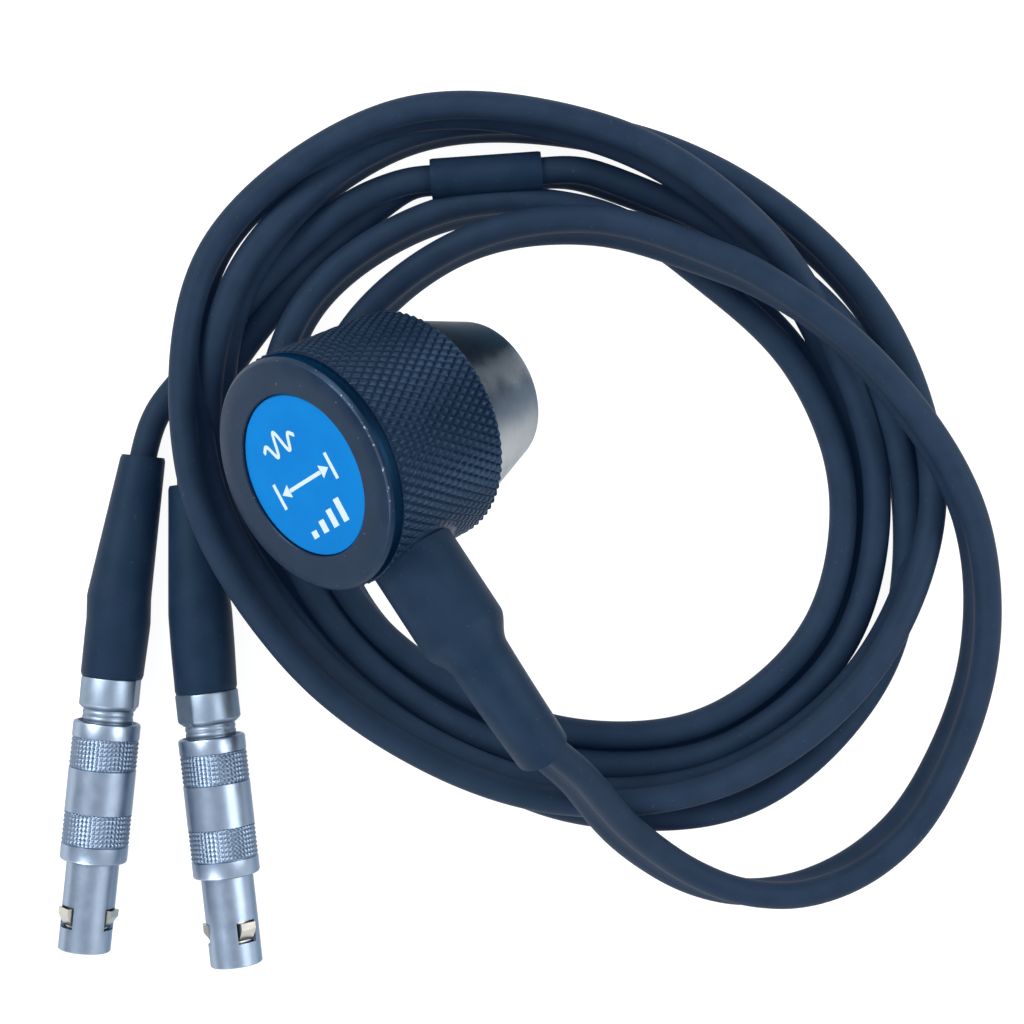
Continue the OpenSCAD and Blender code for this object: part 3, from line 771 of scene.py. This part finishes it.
def pair_line():
    """Middle line of the pair, with its lean: the relief's end, the free loop, the coil and the sleeve.
    The relief's end is also given by itself."""
    thin_end = exit_point(THIN_FROM + RELIEF_BEND_R * math.sin(RELIEF_BEND),
                          -RELIEF_BEND_R * (1 - math.cos(RELIEF_BEND)))
    thin_dir = EXIT_DIR * math.cos(RELIEF_BEND) - EXIT_UP * math.sin(RELIEF_BEND)
    start = [(*(thin_end - START_RUN * thin_dir), START_LEANS[0]), (*thin_end, START_LEANS[1])]
    coil = []
    for i, (radius, height, lean) in enumerate(COIL_TURNS):
        angle = math.radians(COIL_FROM + i * COIL_STEP)
        x = COIL_CENTRE[0] + radius * math.cos(angle)
        y = COIL_CENTRE[1] + radius * math.sin(angle)
        coil.append((x, y, height, lean))
    ending = [(*sleeve_point(along, 0), 0) for along in (SLEEVE_LEN + PAIR_LEAD, SLEEVE_LEN, PAIR_STOP)]
    return smooth_line(start + LOOP_ROUTE + coil + ending, PAIR_ROUNDS), thin_end


def sleeve_point(along, up):
    """Point at a distance along the split sleeve's axis and at a height over it."""
    heading = Vector((math.cos(SLEEVE_HEADING), math.sin(SLEEVE_HEADING), 0))
    return Vector(SLEEVE_FROM) + along * heading + Vector((0, 0, up))


def make_camera():
    """Camera straight above the part."""
    camera = bpy.data.objects.new("camera", bpy.data.cameras.new("camera"))
    camera.data.lens = CAMERA_LENS
    camera.data.sensor_width = CAMERA_SENSOR
    camera.data.clip_start = CAMERA_CLIP[0] * MM
    camera.data.clip_end = CAMERA_CLIP[1] * MM
    camera.location = Vector(CAMERA_AT) * MM
    camera.rotation_euler = (0, 0, math.radians(CAMERA_TURN))
    bpy.context.scene.collection.objects.link(camera)
    bpy.context.scene.camera = camera


def make_pair():
    """The pair of cables, with its route and its exit from the relief in metres."""
    line, exit_at = pair_line()
    skin = Skin()
    swept(skin, line[:, :3], pair_section(), line[:, 3])
    pair = skin.piece("twin_cable", ROW, JACKET, "cable_black",
                      replaces=("cable_loop", "cable_coil"), crease=60)
    return pair, line[:, :3] * MM, exit_at * MM


def make_sleeve():
    """Shrink sleeve where the pair splits, thinner at its two rims."""
    shares = spread(0, 1, 40)
    line = np.array([sleeve_point(SLEEVE_LEN * t, 0) for t in shares])
    sections = []
    for t in shares:
        at_rim = 1 - smoothstep(0, 0.03, t) + smoothstep(0.97, 1, t)
        wall = SLEEVE_WALL - SLEEVE_RIM * at_rim
        sections.append(stadium(CABLE_R + wall, 2 * CABLE_R + wall))
    skin = Skin()
    swept(skin, line, np.array(sections))
    return skin.piece("split_tube", ROW, SHRINK, "sleeve_black", replaces=("split_sleeve",))


def boot_drop(plug, z):
    """How far a boot's axis lies below its plug's, as its cable end droops."""
    return plug["droop"] * smoothstep(NUT_TO + 5, NUT_TO + plug["boot"] + 4, z)


def boot_sway(plug, z):
    """How far a boot's axis lies to the side of its plug's."""
    return float(np.interp(z - NUT_TO, *zip(*plug["sway"])))


def boot_point(plug, z):
    """Middle of the boot at a distance along its plug."""
    heading = math.radians(plug["heading"])
    aside = boot_sway(plug, z) * Vector((math.sin(heading), -math.cos(heading), 0))
    return plug_point(plug, z) + aside - Vector((0, 0, boot_drop(plug, z)))


def make_branch(key):
    """Single cable from inside its boot to inside the split sleeve, with its route in metres."""
    plug = PLUGS[key]
    inside = [tuple(boot_point(plug, NUT_TO + share * plug["boot"])) for share in BOOT_SHARES]
    side = BRANCH_SIDES[key] * CABLE_R
    sleeve = [tuple(sleeve_point(along, side)) for along in (-BRANCH_LEAD, 0, BRANCH_STOP)]
    line = smooth_line(inside + BRANCH_ROUTES[key] + sleeve, BRANCH_ROUNDS)
    skin = Skin()
    swept(skin, line, round_section(CABLE_R))
    branch = skin.piece("branch_cable_" + key, ROW, JACKET, "cable_black",
                        replaces=("branch_" + key,), crease=60)
    return branch, line * MM


def make_relief():
    """Shrink sleeve over the ferrule, drawn in to the pair behind it and bent down with it."""
    points, sections = [], []
    for along in spread(RELIEF_FROM, THIN_FROM, 44):
        points.append(exit_point(along, 0))
    for bend in spread(0, RELIEF_BEND, 40)[1:]:
        points.append(exit_point(THIN_FROM + RELIEF_BEND_R * math.sin(bend),
                                 -RELIEF_BEND_R * (1 - math.cos(bend))))
    line = np.array(points)
    run = RELIEF_FROM + np.r_[0, np.cumsum(np.linalg.norm(np.diff(line, axis=0), axis=1))]
    for along in run:
        drawn = smoothstep(THICK_TO - 0.8, THIN_FROM + 0.4, along)
        tail = min(1, max(0, (along - THIN_FROM) / (run[-1] - THIN_FROM))) ** RELIEF_TAPER
        half_width = RELIEF_R + drawn * (RELIEF_NECK - RELIEF_R) + tail * (RELIEF_TIP - RELIEF_NECK)
        half_height = RELIEF_R + drawn * (2 * CABLE_R + RELIEF_WALL - RELIEF_R)
        sections.append(stadium(half_width, max(half_width, half_height), 72))
    skin = Skin()
    swept(skin, line, np.array(sections))
    return skin.piece("relief_sleeve", ROW, SHRINK, "sleeve_black", replaces=("strain_relief",))


def exit_distance(point):
    """How far a point of the head, in the row frame's millimetres, is from the cable exit's axis."""
    away = point - EXIT_AT
    if away.dot(EXIT_DIR) < 0:
        return math.inf
    return (away - away.dot(EXIT_DIR) * EXIT_DIR).length


def barrel_marks(profile, columns, marked_edge_z, band_r, depth):
    """Numbers at the barrel's points: chips and a painted highlight on the ring's edge, and painted shade
    in the grooves and on the band.
    """
    worn_and_lit, shaded = [], []
    for z, r in profile:
        for j in range(columns):
            angle = (360 * j / columns + 180) % 360 - 180
            # Chips and painted highlight come in only between these angles round the head
            rubbed_and_lit = smoothstep(*WEAR_AND_HIGHLIGHT_IN, angle) * (1 - smoothstep(*WEAR_AND_HIGHLIGHT_OUT, angle))
            worn_and_lit.append(rubbed_and_lit if z == marked_edge_z else 0.0)
            sunk = depth(2 * math.pi * j / columns, z, r) / HEAD_KNURL["depth"]
            shaded.append(1.0 if r == band_r else KNURL_SHADE * sunk)
    return worn_and_lit, shaded


def make_barrel():
    """Knurled barrel with its plain band and end ring, open to the nose and closed behind the label."""
    columns = HEAD_KNURL["around"] * PER_RIDGE
    knurl_from = NOSE_LEN + RIM_CHAMFER
    rows = int((BAND_FROM - knurl_from) / HEAD_KNURL["pitch"] * PER_RIDGE)
    band_r = BARREL_R - BAND_DEPTH
    marked_edge_z = HEAD_LEN - 0.03
    rim = [(NOSE_LEN, BORE_R + 0.05), (NOSE_LEN, BARREL_R - RIM_CHAMFER - 0.05)]
    knurled = [(z, BARREL_R) for z in spread(knurl_from, BAND_FROM, rows + 1)]
    band = [(BAND_FROM + 0.02, BARREL_R - 0.1), (BAND_FROM + 0.04, band_r), (BAND_FROM + 0.5, band_r),
            (HEAD_LEN - FACE_CHAMFER, band_r), (HEAD_LEN - FACE_CHAMFER + 0.06, band_r - 0.03)]
    ring = [(marked_edge_z, band_r - FACE_CHAMFER + 0.06), (HEAD_LEN, band_r - FACE_CHAMFER), (HEAD_LEN, 9),
            (HEAD_LEN, RECESS_R + 0.1), (HEAD_LEN - 0.1, RECESS_R), (LABEL_FLOOR, RECESS_R)]
    profile = rim + knurled + band + ring

    def depth(angle, z, r):
        if r != BARREL_R:
            return 0
        cut = knurl_depth(HEAD_KNURL, angle, z, knurl_from)
        crest = HEAD @ Vector((r * math.cos(angle), r * math.sin(angle), z)) / MM
        return cut * smoothstep(*KNURL_CLEAR, exit_distance(crest))

    skin = Skin()
    rings, stations = turned_rings(profile, columns, depth)
    groove_side = even_split(rings)
    skin.wall(rings, stations, 2 * math.pi * BARREL_R,
              split=lambda i, j: groove_side(i, j) if len(rim) <= i < len(rim) + rows else True)
    skin.cap((len(profile) - 1) * columns, columns, (0, 0, LABEL_FLOOR), stations[-2])
    inner_rings, inner_stations = turned_rings([(NOSE_LEN, BORE_R), (CAVITY_TOP, BORE_R)], columns)
    start = skin.wall(inner_rings, inner_stations, 2 * math.pi * BORE_R)
    skin.cap(start + columns, columns, (0, 0, CAVITY_TOP), inner_stations[1])
    for j in range(columns):
        k = (j + 1) % columns
        skin.add([j, k, start + k, start + j], [(j, 0), (j + 1, 0), (j + 1, 1), (j, 1)])
    worn_and_lit, shaded = barrel_marks(profile, columns, marked_edge_z, band_r, depth)
    rest = [0.0] * (len(skin.points) - len(worn_and_lit))
    return skin.piece("knurled_barrel", HEAD, ANODISED, "anodised_black", replaces=("housing",),
                      marks={"edge": worn_and_lit + rest, "shade": shaded + rest})


def make_label():
    """Thin disc in the end ring's recess, its face's edge eased."""
    columns = 96
    side_r = LABEL_R - 0.02
    profile = [(LABEL_FLOOR, side_r), (LABEL_FACE - 0.08, side_r), (LABEL_FACE, LABEL_R - 0.1)]
    skin = Skin()
    rings, stations = turned_rings(profile, columns)
    skin.wall(rings, stations, 2 * math.pi * LABEL_R)
    skin.cap(0, columns, (0, 0, LABEL_FLOOR), 0)
    skin.cap(2 * columns, columns, (0, 0, LABEL_FACE), 1)
    return skin.piece("label_face", HEAD, label_print(), "label_blue", replaces=("label_disc",))


def bar(x, y, wide, high):
    """Outline of a bar round its middle."""
    return [(x - wide / 2, y - high / 2), (x + wide / 2, y - high / 2),
            (x + wide / 2, y + high / 2), (x - wide / 2, y + high / 2)]


def pulse():
    """Outline of a wavy line that dies away towards both ends."""
    wave = []
    for t in spread(-1, 1, 61):
        swing = PULSE_HIGH * math.cos(2.5 * math.pi * t) * math.cos(0.5 * math.pi * t)
        wave.append((PULSE_AT[0] + PULSE_HALF * t, PULSE_AT[1] + swing))
    wave = np.array(wave)
    lean = np.gradient(wave, axis=0)
    lean /= np.linalg.norm(lean, axis=1)[:, None]
    across = np.stack([-lean[:, 1], lean[:, 0]], axis=1) * STROKE / 2
    return [tuple(point) for point in np.vstack([wave + across, (wave - across)[::-1]])]


def make_label_signs():
    """Plain signs on the label: a pulse, a gap between two walls and a rising level."""
    low, high = LABEL_FACE - 0.02, LABEL_FACE + 0.02
    middle, gap_y = GAP_AT
    skin = Skin()
    skin.prism(pulse(), low, high)
    for side in (-1, 1):
        skin.prism(bar(side * GAP_HALF + middle, gap_y, 0.42, 2.5), low, high)
        foot = side * 2.55 + middle
        head = [(side * 3.75 + middle, gap_y), (foot, gap_y + 0.62), (foot, gap_y - 0.62)]
        skin.prism(head, low, high)
    skin.prism(bar(middle, gap_y, 5, STROKE), low, high)
    for step in range(BARS["count"]):
        tall = BARS["low"] + BARS["rise"] * step
        place = BARS["from"] + BARS["apart"] * step
        skin.prism(bar(place, BARS_FOOT + tall / 2, BARS["wide"], tall), low, high)
    return skin.piece("label_signs", HEAD, label_white(), "label_blue", crease=20)


def make_nose():
    """Steel nose: tapered to the contact face, with its lip and the spigot that sits in the barrel."""
    slope = (NOSE_BASE_R - NOSE_TIP_R) / (NOSE_LEN - TIP_CHAMFER)
    profile = [(0, LIP_R), (0, NOSE_TIP_R - TIP_CHAMFER), (0.06, NOSE_TIP_R - 0.08),
               (TIP_CHAMFER, NOSE_TIP_R)]
    for z in spread(1, NOSE_LEN - 0.25, 10):
        profile.append((z, NOSE_TIP_R + slope * (z - TIP_CHAMFER)))
    spigot_r = BORE_R - 0.02
    profile += [(NOSE_LEN - 0.12, NOSE_BASE_R - 0.12), (NOSE_LEN, NOSE_BASE_R - 0.14),
                (NOSE_LEN, spigot_r), (SPIGOT_END, spigot_r), (SPIGOT_END, CARRIER_R),
                (LIP_LEN, CARRIER_R), (LIP_LEN, LIP_R)]
    return turned("steel_nose", profile, 160, HEAD, STEEL, "nose_steel", replaces=("nose_sleeve",))


def shell_profile():
    """Closed outline of a plug's shell: the tube, the grip with its knurled bands, and the bores."""
    crest_r = GRIP_R + GRIP_CREST
    tube = [(0, TUBE_BORE_R + 0.06), (0, TUBE_R - 0.1), (0.1, TUBE_R), (WINDOW_FROM, TUBE_R),
            (WINDOW_TO, TUBE_R), (TUBE_LEN - 0.1, TUBE_R), (TUBE_LEN, TUBE_R + 0.08),
            (TUBE_LEN, GRIP_R - GRIP_EDGE), (TUBE_LEN + 0.08, GRIP_R - 0.08),
            (TUBE_LEN + GRIP_EDGE, GRIP_R)]
    grip = []
    for low, high in GRIP_BANDS:
        rows = int((high - low) / GRIP_KNURL["pitch"] * PER_RIDGE)
        grip += [(low - 0.12, GRIP_R), (low - 0.06, GRIP_R - 0.1)]
        grip += [(z, crest_r) for z in spread(low, high, rows + 1)]
        grip += [(high + 0.06, GRIP_R - 0.1), (high + 0.12, GRIP_R)]
    back = [(GRIP_TO - GRIP_EDGE, GRIP_R), (GRIP_TO - 0.08, GRIP_R - 0.08), (GRIP_TO, GRIP_R - GRIP_EDGE)]
    bore = [(GRIP_TO, GRIP_BORE_R + 0.05), (GRIP_TO - 0.1, GRIP_BORE_R), (GRIP_BORE_FROM, GRIP_BORE_R),
            (GRIP_BORE_FROM, TUBE_BORE_R), (WINDOW_TO, TUBE_BORE_R), (WINDOW_FROM, TUBE_BORE_R),
            (0.06, TUBE_BORE_R)]
    return tube + grip + back + bore


def make_shell(key):
    """Plug shell: nose tube with three latch windows, and the knurled grip."""
    plug = PLUGS[key]
    columns = GRIP_KNURL["around"] * PER_RIDGE
    profile = shell_profile()
    half = int(math.degrees(math.asin(WINDOW_W / 2 / TUBE_R)) / 360 * columns)
    turn = round((180 + plug["turn"]) / 360 * columns)
    windows = [(turn + k * columns // 3 - half, turn + k * columns // 3 + half) for k in range(3)]
    outer_row = profile.index((WINDOW_FROM, TUBE_R))
    inner_row = profile.index((WINDOW_TO, TUBE_BORE_R))

    def in_window(row, column):
        if row not in (outer_row, inner_row):
            return False
        return any((column - low) % columns < high - low for low, high in windows)

    def depth(angle, z, r):
        if r != GRIP_R + GRIP_CREST:
            return 0
        return knurl_depth(GRIP_KNURL, angle, z, GRIP_BANDS[0][0])

    skin = Skin()
    rings, stations = turned_rings(profile, columns, depth)
    skin.wall(rings, stations, 2 * math.pi * GRIP_R, loop=True, skip=in_window, split=even_split(rings))
    for low, high in windows:
        window_walls(skin, columns, outer_row, inner_row, low, high)
    # Painted shade in the knurl's grooves, by their depth
    shaded = []
    for z, r in profile:
        shaded += [depth(2 * math.pi * j / columns, z, r) / GRIP_KNURL["depth"] for j in range(columns)]
    shaded += [0.0] * (len(skin.points) - len(shaded))
    return skin.piece("plug_shell_" + key, plug_place(plug), PLATE, "plug_metal",
                      replaces=("outer_shell_" + key,), body="shell_" + key, marks={"shade": shaded})


def window_walls(skin, columns, outer_row, inner_row, low, high):
    """Walls of one window, between the tube's outer and inner faces."""

    def outer(row, column):
        return (outer_row + row) * columns + column % columns

    def inner(row, column):
        return (inner_row + 1 - row) * columns + column % columns

    for column in (low, high):
        skin.add([outer(0, column), outer(1, column), inner(1, column), inner(0, column)],
                 [(0, 0), (2, 0), (2, 0.3), (0, 0.3)])
    for row in (0, 1):
        for column in range(low, high):
            corners = [outer(row, column), outer(row, column + 1),
                       inner(row, column + 1), inner(row, column)]
            skin.add(corners, [(0, 0), (0.1, 0), (0.1, 0.3), (0, 0.3)])


def make_neck_rings(key):
    """Two small ridges on the neck between the grip and the nut."""
    rings = []
    for number, z in enumerate((GRIP_TO + 0.3, GRIP_TO + 0.84), 1):
        profile = [(z - 0.22, NECK_R - 0.05), (z - 0.2, NECK_R + 0.02), (z - 0.1, NECK_R + 0.06),
                   (z + 0.1, NECK_R + 0.06), (z + 0.2, NECK_R + 0.02), (z + 0.22, NECK_R - 0.05)]
        name = f"neck_ring_{key}{number}"
        rings.append(turned(name, profile, 64, plug_place(PLUGS[key]), NUT_PLATE, "plug_metal"))
    return rings


def make_nut(key):
    """Collet nut with two flats, and the tail that the boot grips."""
    plug = PLUGS[key]
    columns = 144
    cable_hole_r = CABLE_R + 0.05
    profile = [(NUT_FROM, THREAD_R + 0.1), (NUT_FROM, NUT_R - 0.5), (NUT_FROM + 0.35, NUT_R - 0.08),
               (NUT_FROM + 0.5, NUT_R), (NUT_TO - 0.2, NUT_R), (NUT_TO - 0.06, NUT_R - 0.05),
               (NUT_TO, NUT_R - 0.18), (NUT_TO, NUT_TAIL_R), (NUT_TAIL_TO, NUT_TAIL_R),
               (NUT_TAIL_TO, cable_hole_r), (NUT_TO, cable_hole_r), (NUT_TO, THREAD_R),
               (NUT_FROM + 0.1, THREAD_R)]
    skin = Skin()
    rings, stations = turned_rings(profile, columns)
    turn = math.radians(plug["flats"])
    across = np.array([math.cos(turn), math.sin(turn), 0])
    reach = rings @ across
    over = np.sign(reach) * np.maximum(0, np.abs(reach) - NUT_FLATS / 2)
    outside = np.hypot(rings[:, :, 0], rings[:, :, 1]) > NUT_TAIL_R + 0.05
    rings = rings - (over * outside)[:, :, None] * across
    skin.wall(rings, stations, 2 * math.pi * NUT_R, loop=True)
    return skin.piece("nut_" + key, plug_place(plug), NUT_PLATE, "plug_metal",
                      replaces=("collet_nut_" + key,), crease=24)


def make_boot(key):
    """Shrink boot: straight over the nut's tail, then drawn in to the cable, drooping to its end."""
    plug = PLUGS[key]
    end = NUT_TO + plug["boot"]
    outer = []
    for z in spread(NUT_TO, end, 60):
        swelling = smoothstep(NUT_TO, NUT_TO + 5, z)
        drawn = max(0, (z - NUT_TO - BOOT_STRAIGHT) / (plug["boot"] - BOOT_STRAIGHT))
        radius = BOOT_START_R + swelling * (BOOT_R - BOOT_START_R) + drawn * (BOOT_TIP_R - BOOT_R)
        at_rim = 2 - smoothstep(0, 0.15, z - NUT_TO) - smoothstep(0, 0.15, end - z)
        outer.append((z, radius - BOOT_RIM * at_rim))
    cable_hole_r, tail_hole_r = CABLE_R + 0.02, NUT_TAIL_R + 0.02
    inner = [(end, cable_hole_r), (NUT_TAIL_TO + 0.1, cable_hole_r), (NUT_TAIL_TO + 0.05, tail_hole_r),
             (NUT_TO, tail_hole_r)]
    rings, stations = turned_rings(outer + inner, 64)
    for ring, (z, _) in zip(rings, outer + inner):
        ring[:, 0] += boot_drop(plug, z)
        ring[:, 1] -= boot_sway(plug, z)
    skin = Skin()
    skin.wall(rings, stations, 2 * math.pi * BOOT_R, loop=True)
    return skin.piece("boot_sleeve_" + key, plug_place(plug), SHRINK, "sleeve_black",
                      replaces=("boot_" + key,))


def dress(material, *nodes):
    """Gives CAD pieces that stay as they are their finish."""
    for name in nodes:
        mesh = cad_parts[name].data
        mesh.materials.clear()
        mesh.materials.append(material)


def dress_inner_pieces():
    """Finishes of the CAD pieces inside the head, the plugs and the relief."""
    dress(plain_stock("delay_plastic", (0.5, 0.46, 0.36), (0.66, 0.62, 0.52), 0.3),
          "delay_block_tx", "delay_block_rx")
    dress(plain_stock("barrier_cork", (0.3, 0.17, 0.08), (0.5, 0.32, 0.17), 0.8, scale=2.5, grain=0.03),
          "acoustic_barrier")
    dress(plain_stock("crystal_ceramic", (0.5, 0.42, 0.33), (0.62, 0.55, 0.45), 0.55),
          "crystal_tx", "crystal_rx")
    dress(plain_stock("backing_resin", (0.05, 0.05, 0.055), (0.1, 0.1, 0.11), 0.7, grain=0.02),
          "backing_tx", "backing_rx")
    dress(plain_stock("board_laminate", (0.01, 0.08, 0.03), (0.03, 0.14, 0.06), 0.45), "terminal_board")
    dress(plain_stock("bare_copper", (0.55, 0.24, 0.12), (0.75, 0.4, 0.22), 0.3, metallic=1.0),
          "crystal_lead_tx", "crystal_lead_rx", "core_lead_tx", "core_lead_rx")
    white = plain_stock("white_plastic", (0.68, 0.68, 0.64), (0.8, 0.8, 0.76), 0.4)
    dress(white, "element_carrier", *("insulator_" + key for key in PLUGS))
    dress(plated_metal("ferrule_nickel", (0.4, 0.42, 0.45), (0.55, 0.57, 0.6), 0.3), "cable_ferrule")
    dress(JACKET, "cable_entry")
    dress(NUT_PLATE, *("latch_body_" + key for key in PLUGS))
    dress(BRASS, *(f"tongue_{key}{number}" for key in PLUGS for number in (1, 2, 3)))
    dress(BRASS, *(part + key for key in PLUGS for part in ("centre_contact_", "cable_collet_")))


def softbox(name, at, size, power, colour=(1, 1, 1)):
    """Square lamp at a place in metres that looks at the part."""
    lamp = bpy.data.lights.new(name, "AREA")
    lamp.shape = "RECTANGLE"
    lamp.size, lamp.size_y = size
    lamp.energy = power
    lamp.color = colour
    made = bpy.data.objects.new(name, lamp)
    made.location = at
    made.rotation_euler = (-Vector(at)).to_track_quat("-Z", "Y").to_euler()
    bpy.context.scene.collection.objects.link(made)


def make_world():
    """Pale studio all round, darker on one side and a little darker straight above."""
    world = bpy.data.worlds.new("studio")
    world.use_nodes = True
    bpy.context.scene.world = world
    shop = Shop(world.node_tree)
    background = world.node_tree.nodes["Background"]
    ray = shop.node("TexCoord")["Generated"]
    parts = shop.node("SeparateXYZ", {}, {"Vector": ray})
    dark_side = 0.96 * parts["Y"] - 0.29 * parts["X"]
    sides = shop.mixed(dark_side.between(-0.5, 0.7), (0.95, 0.97, 1.0), (0.4, 0.45, 0.52))
    above = parts["Z"].between(0.55, 0.98)
    shop.feed(background.inputs["Color"], shop.mixed(above, sides, (0.55, 0.6, 0.68)))
    background.inputs["Strength"].default_value = 0.9


def make_floor():
    """Plain floor under the part."""
    mesh = bpy.data.meshes.new("floor")
    corners = [(x * FLOOR_REACH, y * FLOOR_REACH, 0) for x, y in ((-1, -1), (1, -1), (1, 1), (-1, 1))]
    mesh.from_pydata(corners, [], [(0, 1, 2, 3)])
    mesh.materials.append(floor_paint())
    floor = bpy.data.objects.new("floor", mesh)
    bpy.context.scene.collection.objects.link(floor)


def make_lights():
    """Three weak lamps, which give the metal and the knurl their highlights."""
    softbox("key_lamp", (-0.16, 0.38, 0.42), (0.3, 0.3), 3)
    softbox("side_lamp", (0.4, -0.12, 0.3), (0.25, 0.3), 1.8, (0.95, 0.97, 1))
    softbox("low_lamp", (-0.4, -0.25, 0.3), (0.25, 0.25), 1.5, (0.93, 0.96, 1))
    bpy.context.scene.view_settings.view_transform = "Standard"


make_camera()
pair, pair_route, pair_exit = make_pair()
branches = {key: make_branch(key) for key in PLUGS}
sleeve = make_sleeve()
make_relief()
make_barrel()
make_label()
make_label_signs()
make_nose()
for key in PLUGS:
    make_shell(key)
    make_nut(key)
    make_boot(key)
    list(make_neck_rings(key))
dress_inner_pieces()
make_world()
make_lights()
make_floor()

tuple(pair_exit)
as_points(pair_route)
for key, (branch, route) in branches.items():
    sleeve_point(0, 0) * MM
    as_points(route)
